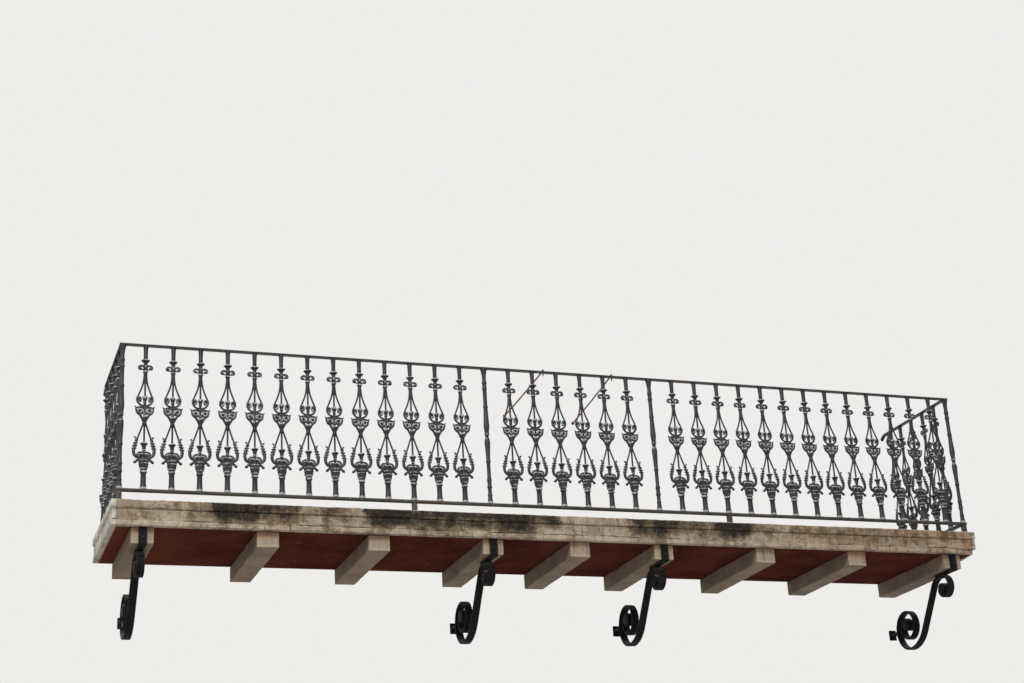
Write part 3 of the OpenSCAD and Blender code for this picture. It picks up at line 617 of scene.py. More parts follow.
def stains(f, look, z):
    """Black growth with a brown fringe, that spreads and drips from the floor's edge."""
    top, bottom = high("floor_slab")[2], low("fascia_front")[2]
    level = f.plus(
        f.between(z, bottom + 0.015, bottom + 0.092, 1, 0.2), f.between(z, top - 0.044, top - 0.036, 0.3)
    )
    streaks = f.times(f.minus(f.cloud(12, 6, 0.74, (1.5, 1.5, 0.2)), 0.5), 1.5)
    patches = f.times(f.minus(f.cloud(8, 9, 0.78, (0.8, 1, 1.2)), 0.5), 3.1)
    growth = f.plus(f.times(stain_zone(f), level), f.plus(streaks, patches))
    growth = f.plus(growth, 0.9 * look.stain_share - 0.5)
    f.coat(look.halo, growth, 0.04, 0.42, 0.8)
    black = f.mixed(f.between(f.cloud(34, 7, 0.8), 0.46, 0.66), look.stain, shade(look.halo, 0.35))
    below_rim = f.between(z, top - 0.007, top, 0.3, 1)
    f.cover(black, f.times(f.between(growth, 0.24, 1.05, 0.98), below_rim))
    f.coat(shade(look.halo, 0.55), f.cloud(26, 5, 0.7, (1.8, 1.8, 0.2)), 0.55, 0.68, 0.55)


def cracks(f, look, z, strip_z):
    """A long crack above the fascia's lower band, and thin ones all over. Returns the long one."""
    height = f.between(f.cloud(5, 4, 0.7, (1, 1, 0.1)), 0.3, 0.7, strip_z + 0.008, strip_z - 0.002)
    run = f.between(f.sums("ABSOLUTE", f.minus(z, height)), 0.0034, 0.001)
    crack = f.times(run, f.between(f.cloud(6, 4, 0.6, (1, 1, 0.2)), 0.46, 0.56, 0.95, 0.1))
    f.cover(shade(look.stain, 0.7), crack)
    line = f.sums("ABSOLUTE", f.minus(f.cloud(11, 7, 0.7, (0.3, 1, 1.8)), 0.5))
    thin = f.times(f.between(line, 0.012, 0.003), f.between(f.cloud(5, 3), 0.5, 0.6, 0.75))
    f.cover(shade(look.halo, 0.15), thin)
    return crack


def floor_stone():
    """Weathered stone, with pits and cracks, black growth that drips down it, a painted highlight along the
    top of the nosing and pale end faces that are partly painted light.
    """
    look = bpy.context.scene.balcony_stone_finish
    f = Finish("weathered_stone", look.pale)
    mid, fine, x, z = f.cloud(16, 6, 0.68), f.cloud(90, 5, 0.6), f.axis("X"), f.axis("Z")
    top, end_x = high("floor_slab")[2], high("slab_core")[0]
    strip_z = low("fascia_front")[2] + BAND_H
    f.coat(look.grey, mid, 0.36, 0.64)
    f.coat(shade(look.grey, 0.7), f.cloud(2.6, 5, 0.6), 0.45, 0.7, 0.5)
    warm = f.between(f.cloud(9, 5, 0.7, (0.5, 1, 1.4)), 0.42, 0.6, 0.4)
    f.cover(look.ochre, f.times(f.between(x, 1.2, 2.0), warm))
    # The end faces are made pale: partly white streaks on the stone, partly painted light over the whole
    # face.
    ends = (f.between(x, side * (end_x + 0.0025), side * (end_x + 0.0125)) for side in (-1, 1))
    f.cover(look.white, f.times(f.sums("MAXIMUM", *ends), f.between(mid, 0.3, 0.6, 0.4, 0.95)))
    strip = f.between(z, strip_z + 0.003, strip_z - 0.001)
    f.cover(shade(look.pale, 1.12), f.times(strip, f.between(mid, 0.65, 0.4, 0.6, 0.1)))
    stains(f, look, z)
    # A pale line along the top of the nosing: painted highlight.
    edge = f.between(z, top - 0.0065, top - 0.002)
    f.cover(look.white, f.times(edge, f.between(mid, 0.6, 0.42, 0.9, 0.15)))
    crack = cracks(f, look, z, strip_z)
    hollow = f.times(f.between(f.pits(46), 0.1, 0.28, 0, 1), f.between(mid, 0.5, 0.62))
    f.cover(shade(look.grey, 0.25), f.times(hollow, 0.7))
    f.bump(f.minus(f.plus(fine, mid), f.plus(f.times(hollow, 1.5), crack)), 0.8, 0.006)
    return f.done(fine, 0.78, 0.95, 0.25)


def soffit_paint():
    """Dull red paint between the joists, lighter at the left, and bare stone on the slab's other sides."""
    look = bpy.context.scene.balcony_stone_finish
    f = Finish("soffit_paint", look.soffit)
    broad, fine = f.cloud(3, 5, 0.6), f.cloud(60, 5, 0.6)
    f.coat(shade(look.soffit, 0.6), broad, 0.35, 0.65)
    f.coat(shade(look.soffit, 1.7), f.axis("X"), -2.2, -2.8, 0.6)
    f.coat(look.joist, f.cloud(18, 6, 0.7), 0.6, 0.68, 0.2)
    bare = f.mixed(f.between(fine, 0.4, 0.62), shade(look.grey, 0.8), shade(look.grey, 0.35))
    f.coat(bare, f.facing_up(), -0.8, -0.4)
    f.bump(f.plus(fine, broad), 0.4, 0.003)
    return f.done(fine, 0.85, 0.98, 0.0)


def joist_paint():
    """Beige paint of the joists, their ends washed with ochre above and streaked below."""
    look = bpy.context.scene.balcony_stone_finish
    f = Finish("joist_paint", look.joist)
    broad, fine, z = f.cloud(5, 5, 0.6), f.cloud(70, 5, 0.6), f.axis("Z")
    _, end_y, bottom = low("joist_1")
    f.coat(shade(look.joist, 0.7), broad, 0.35, 0.65)
    sides, f.base = f.base, shade(look.pale, 0.78)
    wash = f.between(z, bottom + 0.03, high("joist_1")[2] - 0.03)
    f.cover(look.ochre, f.times(wash, f.between(broad, 0.3, 0.6, 0.5, 0.1)))
    f.coat(shade(look.joist, 0.6), f.cloud(26, 5, 0.7, (1.8, 1, 0.14)), 0.5, 0.62, 0.55)
    f.coat(look.pale, z, bottom + 0.022, bottom + 0.012, 0.6)
    f.base = f.mixed(f.between(f.axis("Y"), end_y + 0.006, end_y + 0.002), sides, f.base)
    f.coat(shade(look.joist, 0.4), f.cloud(40, 5, 0.7), 0.63, 0.7, 0.5)
    f.bump(f.plus(fine, f.cloud(22, 5)), 0.45, 0.003)
    return f.done(fine, 0.8, 0.95, 0.25)


# Railing


def baluster_core():
    """Radius and height of the baluster's turned core, in millimetres."""
    return [
        (19.6, 0), (20.2, 1.5), (20.2, 11), (18.4, 13), (17.8, 25), (16.6, 38), (16.3, 60), (15.8, 95),
        (16.6, 98), (20, 100.5), (21, 103), (21, 108), (20, 112.5), (17, 115.5), (17, 118), (21, 121.5),
        (24, 127), (26, 134), (27, 142), (27.6, 149), (29.4, 152), (29.8, 155.5), (29, 159), (25.4, 161.5),
        (25.4, 168), (26, 174), (23.5, 179), (16, 184), (10, 188), (8.6, 197), (10.6, 201), (11, 207),
        (10.4, 214), (7, 217.5), (6, 222), (6.2, 234), (10, 238), (11, 241), (11, 250), (12.2, 258),
        (13.4, 266), (15.8, 271), (19.8, 275.5), (22, 278.5), (22, 283), (20, 285.4), (8, 287.5), (5.7, 291),
        (5.6, 388), (8, 393), (12.2, 398), (13.4, 404), (13.2, 411), (12.6, 418), (14, 422), (17, 426),
        (19.4, 431), (20.6, 437), (19.6, 445), (15, 452), (9, 457), (8.6, 459), (11, 461), (11, 468),
        (8, 471), (7, 476), (6.8, 500), (6, 507), (7.2, 511), (7.2, 527), (8, 532), (10.4, 534),
        (10.4, 541), (8.8, 544), (10, 549), (13, 558), (15.4, 567), (15.8, 573), (13.6, 576), (6.6, 572),
        (5.7, 578), (5.7, 655), (7, 670), (9, 690), (11, 706), (12.2, 722), (12.2, 726), (15.2, 728.6),
        (15.8, 732.5), (15.2, 736.6), (11.6, 739), (11.2, 743), (12, 748), (13.6, 756), (14, 764),
        (12.2, 771), (11, 777), (11, 783), (12.8, 788), (17, 795), (23.4, 800), (26.4, 803.5), (26.4, 806),
        (23, 807.4), (13.6, 808.4), (12.8, 813), (12.8, 842), (13.6, 868), (14.8, 888), (15.9, 897),
    ]


def in_plane(points):
    """Drawing points of the railing's plane, in millimetres, as points of space."""
    points = np.asarray(points, float)
    return np.stack([points[:, 0], np.zeros(len(points)), points[:, 1]], -1) * MM


def cast_bar(half, points, count, radius, sides=8, wear=0.3, deep=0.9):
    """A curved bar of the casting through the given drawing points."""
    tube(half, smooth_path(in_plane(points), count), radius, sides, wear=wear, deep=deep)


def lyre_half(half, rod, arm, bar):
    """Right half of the lyre: rod, knuckles, arm, tip, inner scroll and leaf over the bulb."""
    leg = [(8, 404), (12, 392), (19, 371), (27, 347), (35, 325), (40.5, 308), (44, 297)]
    cast_bar(half, leg, 12, rod, 7, 0.1)
    path = [
        (44, 299), (48, 286), (52, 271), (56, 256), (59.5, 241), (59.5, 226),
        (55.5, 211), (46.5, 200), (35, 194), (22, 190), (8, 189),
    ]
    radii = [rod, 0.0082, 0.0088, 0.009, arm, arm, arm, 0.0088, 0.0078, 0.007, 0.006]
    cast_bar(half, path, 20, radii, 8, 0, 0.85)
    for x, z, wide in ((44.5, 301, 5.5), (49, 284.5, 9), (53.5, 267.5, 9.6), (57.5, 251, 9)):
        cast_bar(half, [(x - wide, z), (x + wide, z - 1)], 3, 0.0061, 8, 0.35, 1.2)
    knob(half, (61, 232), (9.8, 7.6, 13), -6, 0.1, 9)
    knob(half, (57, 212), (8.8, 7.2, 12), -42, 0.1)
    cast_bar(half, [(43, 306), (46.5, 312), (51, 316.5), (56, 319)], 5, [0.007, 0.006, 0.0042], 6, 0.5)
    knob(half, (52, 319.5), (7.2, 6.4, 5), 25, 0.5)
    scroll = [(0, 228.5), (14, 228.5), (27, 226), (36, 219), (38.5, 208), (33, 200), (25, 201.5), (23.5, 209)]
    cast_bar(half, scroll, 20, [bar * 1.06, bar * 1.06, bar * 1.04, bar, bar * 0.9], 8, 0.4)
    knob(half, (28, 210), (6.6, 7.8, 6), 0, 0.7)
    # A thin plate behind the inner scrolls, marked -1 so that it is painted dark: painted shade filling the
    # gaps.
    knob(half, (17, 206), (15, 3, 12), 0, -1, 8, 4)
    cast_bar(half, [(6, 212.5), (14, 214), (22, 214.5)], 4, [0.0066, 0.006, 0.005], 7, 0.5)
    leaf = [(8, 186), (20, 186), (32, 182), (42, 175), (50, 167)]
    cast_bar(half, leaf, 12, [0.007, 0.0082, 0.0086, 0.0082, 0.0072], 8, 0.15)
    # Marked a little below 0: light painted shade.
    knob(half, (24, 177), (12, 9, 7.4), -18, -0.2)
    knob(half, (50.5, 166.5), (11.6, 9, 9.4), -38, 0.3, 9)


def face_half(half, bar):
    """Right half of the part above the vase: leaf cup, eye and brow, then the basket."""
    cup = [
        (6, 429), (13, 436), (18.5, 445), (23, 454), (30, 461.5), (39, 468), (46, 477), (49.5, 488),
        (52, 500),
    ]
    cast_bar(half, cup, 14, [0.0062, 0.0074, 0.0078, 0.0074, 0.007, 0.0066, 0.006, 0.005], 8, 0.2)
    # The eye: a backing plate marked -1 and a pupil marked -0.7, both painted shade, in a ring marked 0.8 for
    # chalking and painted highlight.
    knob(half, (28, 486), (19, 3.4, 18.5), 0, -1, 12, 4)
    angle, eye_r = np.radians(np.linspace(110, -258, 18)), np.linspace(12.2, 11.4, 18)
    ring = np.stack([28.5 + eye_r * np.cos(angle), 486 + eye_r * np.sin(angle)], -1)
    tube(half, in_plane(ring), 0.0042, 7, wear=0.8)
    knob(half, (28.5, 485.5), (6, 6.8, 6), 0, -0.7)
    brow = [(2, 496), (9, 504), (21, 509), (34, 508), (46, 504.5), (53, 507), (58, 512.5)]
    cast_bar(half, brow, 13, [0.0056, 0.0062, 0.006, 0.0056, 0.005, 0.0032], 8, 0.25)
    cast_bar(half, [(3, 476), (10, 472), (18, 468), (27, 465)], 6, [0.0064, 0.0058, 0.0046], 7, 0.1)
    bowl = [
        (0, 517.5), (14, 519), (27, 524), (38, 534), (45, 547), (46.6, 559), (42, 569), (34.5, 573),
        (27, 570), (23, 560), (23.4, 549), (28.5, 542),
    ]
    radii = [bar * 1.08, bar * 1.08, bar * 1.04, bar, bar * 0.94, bar * 0.85]
    # The bowl's inner return is marked 0.6, for chalking and painted highlight; the plate inside its loop is
    # marked -0.8, painted shade.
    cast_bar(half, bowl, 28, radii, 8, [0.1] * 20 + [0.6] * 12)
    knob(half, (35, 558), (7, 3, 11), 0, -0.8, 8, 4)
    knob(half, (31, 547), (5.8, 6.6, 7.6), 10)
    knob(half, (45.5, 569), (7, 6.8, 6), 40, 0.1)


def stem_half(half, rod):
    """Right half of the upper part: side rod and the scroll at the hub."""
    path = [
        (5.8, 722), (7.4, 700), (9, 680), (11.6, 663), (15.4, 646), (22.5, 624), (31, 602), (38, 586),
        (41.5, 575),
    ]
    cast_bar(half, path, 16, [0.0052, rod, rod, rod, rod], 7, 0.1)
    wing = [(5, 761), (12, 768), (23, 771.5), (33, 769), (39, 761), (37.2, 752), (30.5, 748.6), (25.6, 753.5)]
    cast_bar(half, wing, 18, [0.0068, 0.007, 0.007, 0.0068, 0.0066, 0.006], 8, 0.4)
    knob(half, (29, 757), (7, 7.4, 6.6))
    cast_bar(half, [(8, 752), (14, 747), (21, 745.5)], 4, [0.0056, 0.005, 0.004], 6, 0.5)


def beads(whole, count, first, radius, z, size, wear, rows):
    """Bosses round the baluster, the first one at an angle counted in steps."""
    for k in range(count):
        a = 2 * math.pi / count * (k + first)
        knob(whole, (radius * math.cos(a), radius * math.sin(a), z), size, 0, wear, 6, rows)


def baluster():
    """One cast baluster, standing on the origin, its ornament across X."""
    sizes = bpy.context.scene.balcony_railing
    half = Shape()
    lyre_half(half, sizes.rod, sizes.arm, sizes.scroll)
    face_half(half, sizes.scroll)
    stem_half(half, sizes.rod)
    whole = lathe(baluster_core(), 14, 1.2)
    points, quads, tris, wear = half.packed()
    whole.add(points, quads, tris, wear)
    whole.add(points * (-1, 1, 1), quads[:, ::-1], tris[:, ::-1], wear)
    knob(whole, (0, 474), (11, 9, 6), 0, 0.5)
    knob(whole, (0, 511), (9, 7, 5))
    beads(whole, 10, 0.5, 24.6, 170, (6.6, 6.6, 10.6), 0.4, 5)
    beads(whole, 6, 0, 13.4, 571, (3.6, 3.6, 8.4), 0.6, 4)
    for side in (-1, 1):
        knob(whole, (0, side * 10, 762), (8, 5.5, 8), sides=9)
    points, quads, tris, wear = whole.packed()
    return Shape().add(points * (1, 1, CLEAR / (CASTING_H * MM)), quads, tris, wear)


def spots(row):
    """Where the balusters of a row stand: x and y of each."""
    lowest, highest = low(row + "_balusters"), high(row + "_balusters")
    reach = (highest - lowest) / 2 - BALUSTER_HALF
    reach = reach * (0, 1, 0) if "side" in row else reach * (1, 0, 0)
    for share in np.linspace(-1, 1, ROWS[row]):
        yield ((lowest + highest) / 2 + reach * share)[:2]


class BALCONY_OT_make_balusters(Operator):
    """Cast the balusters of the front and the sides"""

    bl_idname = "balcony.make_balusters"
    bl_label = "Make balusters"

    def execute(self, context):
        one, paint = baluster(), cast_paint()
        for row in ROWS:
            turn = Matrix.Rotation(math.radians(90 if "side" in row else 0), 4, "Z")
            places = [Matrix.Translation((x, y, RAIL_TOP)) @ turn for x, y in spots(row)]
            node = row + "_balusters"
            piece(node + "_cast", one.copies(places), paint, [node])
        return {"FINISHED"}


def post_profile():
    """Radius in millimetres and height, as a share of the clear height, of the turned posts."""
    return [
        (17.4, 0), (18, 0.002), (18, 0.01), (16.8, 0.016), (15, 0.03), (13.2, 0.05), (13, 0.053),
        (14.8, 0.055), (15.2, 0.06), (14.6, 0.065), (12.2, 0.069), (12, 0.109), (15, 0.113), (15.8, 0.118),
        (15.8, 0.123), (15, 0.127), (13, 0.131), (13, 0.161), (15, 0.164), (15.7, 0.17), (15, 0.176),
        (12.6, 0.182), (11.6, 0.24), (11.8, 0.295), (14.6, 0.299), (15.2, 0.305), (14.6, 0.311), (13, 0.319),
        (13.8, 0.36), (16.4, 0.41), (17.9, 0.44), (17.4, 0.455), (14.6, 0.472), (11.2, 0.482), (11.2, 0.499),
        (15.4, 0.502), (16.2, 0.508), (15.4, 0.515), (13.6, 0.519), (15.6, 0.538), (18.2, 0.56), (18.4, 0.57),
        (16.8, 0.61), (14.6, 0.66), (13.4, 0.702), (15, 0.705), (15.7, 0.711), (15, 0.718), (13, 0.724),
        (12.6, 0.78), (13, 0.838), (15, 0.841), (15.7, 0.847), (15, 0.854), (13.4, 0.858), (13.4, 0.884),
        (15.4, 0.887), (16.2, 0.893), (15.4, 0.9), (12.6, 0.909), (12.4, 0.925), (13.6, 0.945),
        (16.8, 0.972), (20.4, 0.989), (21, 0.992), (21, 1.0),
    ]


class BALCONY_OT_make_posts(Operator):
    """Turn the two middle posts and the two corner posts"""

    bl_idname = "balcony.make_posts"
    bl_label = "Make posts"

    def execute(self, context):
        one = lathe([(r, h * CLEAR / MM) for r, h in post_profile()], 32, 1.4)
        nodes = ["corner_post_left", "corner_post_right", "middle_post_left", "middle_post_right"]
        places = [Matrix.Translation((centre_of(node)[0], RAIL_Y, RAIL_TOP)) for node in nodes]
        piece("turned_posts", one.copies(places), cast_paint(), nodes)
        return {"FINISHED"}


def straight(start, stop, cell=0.12):
    count = max(3, int(np.linalg.norm(np.subtract(stop, start)) / cell) + 1)
    return np.linspace(start, stop, count)


def rail_end(side):
    """Forged end of a side handrail: the flat bar turns round and drops into the wall."""
    x, z = side * CORNER_X, centre_of("handrail_front")[2]
    wall_z = 0.9816
    drop = [(-0.11, z), (-0.085, z), (-0.06, z), (-0.03, z - 0.005), (0, wall_z)]
    path = smooth_path([(x, y, height) for y, height in drop], 22)
    ahead, across = directions(path, (1, 0, 0))
    face = np.cross(ahead, across)
    c, s = np.cos(circle(16)), np.sin(circle(16))
    # Half width, half thickness and the power that squares off the section
    flat, round_bar = np.array([0.018, 0.0044, 0.35]), np.array([0.0128, 0.0128, 1.0])
    rings = []
    for k, p in enumerate(path):
        share = min(1, max(0, (p[1] + 0.102) / 0.03))
        wide, deep, power = flat * (1 - share) + round_bar * share
        u, v = np.sign(c) * np.abs(c) ** power * wide, np.sign(s) * np.abs(s) ** power * deep
        rings.append(p + u[:, None] * across[k] + v[:, None] * face[k])
    rings = np.array(rings)
    rings[-1, :, 1] = 0
    rings[..., 1] = np.minimum(rings[..., 1], 0)
    return rings


class BALCONY_OT_make_rails(Operator):
    """Forge the handrails and bottom rails, with their rivets and wall ends"""

    bl_idname = "balcony.make_rails"
    bl_label = "Make rails"

    def execute(self, context):
        sizes = context.scene.balcony_railing
        self.rails(sizes, "handrail", rail_paint(), "dark_iron", -0.098)
        self.rails(sizes, "bottom_rail", olive_paint(), "rail_iron", 0.0)
        return {"FINISHED"}

    def rails(self, sizes, name, finish, slot, flat_end):
        """The three bars of one rail, their rivets above the handrail or below the bottom rail."""
        handrail = name == "handrail"
        a, b = low(name + "_front"), high(name + "_front")
        width, thick, z = b[1] - a[1], b[2] - a[2], (a[2] + b[2]) / 2
        bars = {"front": Shape(), "left": Shape(), "right": Shape()}
        front = straight((a[0], RAIL_Y, z), (b[0], RAIL_Y, z))
        flat_bar(bars["front"], front, width, thick, sizes.edge, (0, 1, 0))
        for end, x in (("left", -CORNER_X), ("right", CORNER_X)):
            side = straight((x, RAIL_Y + width / 2, z), (x, flat_end, z))
            flat_bar(bars[end], side, width, thick, sizes.edge)
            if handrail:
                skin(bars[end], rail_end(math.copysign(1, x)), 0.3)
        face, out = (b[2], (0, 0, 1)) if handrail else (a[2], (0, 0, -1))
        for row in ROWS:
            for x, y in spots(row):
                rivet(bars[row.split("_")[0]], (x, y, face), out, sizes.rivet)
        for x in (-CORNER_X, -MIDDLE_X, MIDDLE_X, CORNER_X):
            rivet(bars["front"], (x, RAIL_Y, face), out, sizes.rivet * 1.35)
        for end, shape in bars.items():
            piece(f"{name}_{end}_bar", shape, finish, [f"{name}_{end}"])


class BALCONY_OT_make_feet(Operator):
    """Set the small blocks that carry the bottom rail"""

    bl_idname = "balcony.make_feet"
    bl_label = "Make feet"

    def execute(self, context):
        a, b = low("rail_feet"), high("rail_feet")
        half = 0.015
        end_x, inner_x, back_y = b[0] - half, MIDDLE_X + 3 * PITCH, b[1] - half
        feet = [(-end_x, RAIL_Y), (end_x, RAIL_Y), (-inner_x, RAIL_Y), (inner_x, RAIL_Y)]
        feet += [(-end_x, back_y), (end_x, back_y)]
        whole = Shape()
        for k, (x, y) in enumerate(feet):
            lowest, highest = (x - half, y - half, a[2]), (x + half, y + half, b[2])
            worn_block(whole, lowest, highest, 0.01, 0.003, 0.0008, k + 3)
        piece("rail_feet_blocks", whole, olive_paint(), ["rail_feet"])
        return {"FINISHED"}


# Place of each stay on the handrail, shift of its wall end along the facade, and its fall
STAYS = {"stay_left": (-0.169, 0.03, 0.017), "stay_right": (0.313, 0.055, 0.042)}


def stay(x, shift, fall):
    """One stay: the eye and its pin in the handrail, the rod and the rose on the wall."""
    top, under = high("handrail_front")[2], low("handrail_front")[2]
    rod_r, lift, sag = 0.005, 0.006, 0.004
    start = np.array([x, RAIL_Y, top + lift])
    end = np.array([x + shift, 0, start[2] - fall])
    path = np.linspace(start, end, 24)
    path[:, 2] -= sag * np.sin(np.linspace(0, math.pi, 24))
    path[-1, 1] = -0.0005
    whole = tube(Shape(), path, rod_r, 10, (0, 0, 1), round_ends=False)
    eye = [(8.6, 0), (9, 1.5), (9, 9), (8, 11), (5, 11.6), (5, 14.4), (3.6, 16), (0.5, 16)]
    whole.join(lathe(eye, 18, 0.8), Matrix.Translation((x, RAIL_Y, top)))
    pin = [(0.5, -22), (3.4, -22), (4, -20.5), (4, 0)]
    whole.join(lathe(pin, 12, 0.6), Matrix.Translation((x, RAIL_Y, under)))
    rose = lathe([(12, 0), (12, 2), (10.6, 3.2), (7, 4), (0.5, 4)], 20, 0.6)
    return whole.join(rose, Matrix.Translation(end) @ Matrix.Rotation(math.radians(90), 4, "X"))


class BALCONY_OT_make_stays(Operator):
    """Forge the two thin stays from the handrail to the wall"""

    bl_idname = "balcony.make_stays"
    bl_label = "Make stays"

    def execute(self, context):
        rust = stay_rust()
        for name, sizes in STAYS.items():
            piece(name + "_rod", stay(*sizes), rust, [name])
        return {"FINISHED"}


# Stone


def fascia_profile():
    """Distance out from the slab's core and height, round the fascia's section."""
    bottom, top, deep = low("fascia_front")[2], high("fascia_front")[2], 0.03
    out, band_top = deep + BAND_STEP, bottom + BAND_H
    profile = [(0, bottom), (out - 0.004, bottom), (out, bottom + 0.004)]
    profile += [(out, band_top - BAND_STEP - 0.002), (out - 0.002, band_top - BAND_STEP)]
    profile += [(deep + 0.0015, band_top), (deep, band_top + 0.003)]
    profile += [(deep, z) for z in np.linspace(band_top + 0.012, top - 0.012, 4)]
    return profile + [(deep, top), (0, top)]


def fascia(sizes):
    """The fascia, from the wall on the left round to the wall on the right, worn and chipped."""
    x, y = high("slab_core")[0], low("slab_core")[1]
    cell, profile = sizes.cell, fascia_profile()
    stations = [((-x, -v), (-1, 0)) for v in np.arange(0, -y, cell)] + [((-x, y), (-1, -1))]
    stations += [((u, y), (0, -1)) for u in np.arange(cell - x, x, cell)] + [((x, y), (1, -1))]
    stations += [((x, -v), (1, 0)) for v in np.arange(-y - cell, 0, -cell)] + [((x, 0), (1, 0))]
    chip_deep, chip_reach = 0.024, 0.12
    rings = []
    for (u, v), out in stations:
        chip = chip_deep * max(0.0, 1 - math.hypot(u - x, v - y) / chip_reach) ** 0.8
        ring = []
        for k, (d, z) in enumerate(profile):
            p = Vector((u + out[0] * d, v + out[1] * d, z))
            rough = noise.noise(p * 11) + 0.6 * noise.noise(p * 37)
            if 0 < k < 6:
                d -= sizes.wear * 1.1 * max(0, rough) + chip
            elif 0 < k < len(profile) - 1:
                d -= sizes.wear * 0.25 * max(0, rough + 0.2)
            ring.append((u + out[0] * d, v + out[1] * d, z))
        rings.append(ring)
    return skin(Shape(), np.array(rings), 0.2)


class BALCONY_OT_make_floor(Operator):
    """Carve the worn floor slab, its nosing and the fascia below it"""

    bl_idname = "balcony.make_floor"
    bl_label = "Make floor"

    def execute(self, context):
        sizes, stone = context.scene.balcony_stone, floor_stone()
        a, b = low("floor_slab"), high("floor_slab")
        rebate, inset, lap = 0.004, 0.014, 0.004
        whole = Shape()
        worn_block(whole, a + (0, 0, rebate), b, sizes.cell, sizes.edge, sizes.wear, 5, True)
        lowest, highest = a + (inset, inset, 0), (b[0] - inset, 0, a[2] + rebate + lap)
        worn_block(whole, lowest, highest, 0.1, 0.003, 0.001, 8, True)
        piece("floor_slab_stone", whole, stone, ["floor_slab"])
        fascias = ["fascia_front", "fascia_left", "fascia_right"]
        piece("fascia_stone", fascia(sizes), stone, fascias, 30)
        return {"FINISHED"}


class BALCONY_OT_make_soffit(Operator):
    """Paint the slab's underside between the joists"""

    bl_idname = "balcony.make_soffit"
    bl_label = "Make soffit"

    def execute(self, context):
        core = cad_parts["slab_core"]
        core.data.materials.clear()
        core.data.materials.append(soffit_paint())
        return {"FINISHED"}


class BALCONY_OT_make_joists(Operator):
    """Carve the nine joists under the slab"""

    bl_idname = "balcony.make_joists"
    bl_label = "Make joists"

    def execute(self, context):
        sizes, whole = context.scene.balcony_stone, Shape()
        nodes = [f"joist_{k}" for k in range(1, 10)]
        for k, node in enumerate(nodes, 1):
            wear, seed = sizes.wear * 0.6, k * 2.7
            worn_block(whole, low(node), high(node), sizes.cell, sizes.joist_edge, wear, seed, True)
        piece("joist_blocks", whole, joist_paint(), nodes)
        return {"FINISHED"}


# Brackets


def aim(angle):
    """Direction of an angle in degrees, in the bracket's drawing."""
    return np.array([math.cos(math.radians(angle)), math.sin(math.radians(angle))])


def bend(centre, radius, start, stop):
    """Points round a bend of the bracket's drawing, after its first one, angles in degrees."""
    count = max(3, int(abs(stop - start) / 5) + 1)
    return [centre + radius * aim(angle) for angle in np.linspace(start, stop, count)[1:]]


def scroll(centre, start, radius, shrink, turns, eye):
    """Quarter turns, each tighter than the last. Returns the points and the eye's centre."""
    points = []
    for _ in range(turns):
        points += bend(centre, radius, start, start + 90)
        start, smaller = start + 90, round(radius * shrink, 1)
        centre = centre + (radius - smaller) * aim(start)
        radius = smaller
    return points, centre + (radius - eye) * aim(start)


def drawn(points):
    """Drawing points of the bracket, in millimetres, as points of space."""
    points = np.asarray(points, float) * MM
    return np.insert(points, 0, 0.0, axis=1)


def bracket():
    """One bracket: a strap on the joist, a brace with a scroll at each end and a tie into the wall.

    Drawing: x towards the wall, y up, from the corner below the joist's front face.
    """
    width, thick, cut = 48, 14, 1.8
    bar, half = (width * MM, thick * MM, cut * MM), thick / 2
    reach = (high("bracket_1") - low("bracket_1"))[1] / MM
    joist_h = (high("joist_1") - low("joist_1"))[2] / MM
    strap = [(half, joist_h), (half, 60), (half, 20), (half, 2), (8.6, -3.4), (13, -half)]
    strap += [(x, -half) for x in (30, 110, 210)]
    shape = flat_bar(Shape(), drawn(strap), *bar)
    front_x, front_r, front_eye_r = 147, 76, 38
    shoulder_x, shoulder_r, angle, brace = 183, 100, 54, 330
    sweep_r, volute_r, volute_eye_r = 220, 142, 40
    run_y = -3 * half
    front, front_eye = scroll((front_x, run_y - front_r), 90, front_r, 0.86, 3, front_eye_r)
    path = front[::-1] + [(x, run_y) for x in (front_x, 165, shoulder_x)]
    shoulder = np.array([shoulder_x, run_y - shoulder_r])
    path += bend(shoulder, shoulder_r, 90, 90 - angle)
    out, lean = aim(90 - angle), aim(-angle)
    path += [shoulder + shoulder_r * out + s * lean for s in (60, 120, 180, 240, 300, brace)]
    sweep = path[-1] + sweep_r * out
    path += bend(sweep, sweep_r, 270 - angle, 270)
    volute_x, volute_y = sweep - (0, sweep_r - volute_r)
    volute, volute_eye = scroll((volute_x, volute_y), -90, volute_r, 0.85, 6, volute_eye_r)
    flat_bar(shape, drawn(path + volute), *bar)
    tie = [(x, volute_y) for x in (volute_x + volute_r - 4, volute_x + volute_r + 40, reach - 8)]
    flat_bar(shape, drawn(tie), *bar)
    plate = np.array([(-27, reach - 10, volute_y - 35), (27, reach, volute_y + 35)]) * MM
    worn_block(shape, *plate, 0.02, 0.002, 0.0006, 2, True)
    for (x, y), r in ((front_eye, front_eye_r), (volute_eye, volute_eye_r)):
        edge = [(r - 4, 27), (r - 1.5, 26), (r, 23)]
        eye = [(radius, -z) for radius, z in edge] + edge[::-1] + [(r * 0.5, 27), (r * 0.42, 24), (0.5, 24)]
        turn = Matrix.Translation((0, x * MM, y * MM)) @ Matrix.Rotation(math.radians(90), 4, "Y")
        shape.join(lathe(eye, 28, 0.6), turn)
    for y in (28, 74):
        rivet(shape, (0, 0, y * MM), (0, -1, 0), 0.009, 12)
    for x, under in ((70, thick), (150, 2 * thick)):
        rivet(shape, (0, x * MM, -under * MM), (0, 0, -1), 0.008, 12)
    for y in (volute_y - 20, volute_y + 20):
        rivet(shape, (0, (reach - 10) * MM, y * MM), (0, -1, 0), 0.007, 12)
    return shape


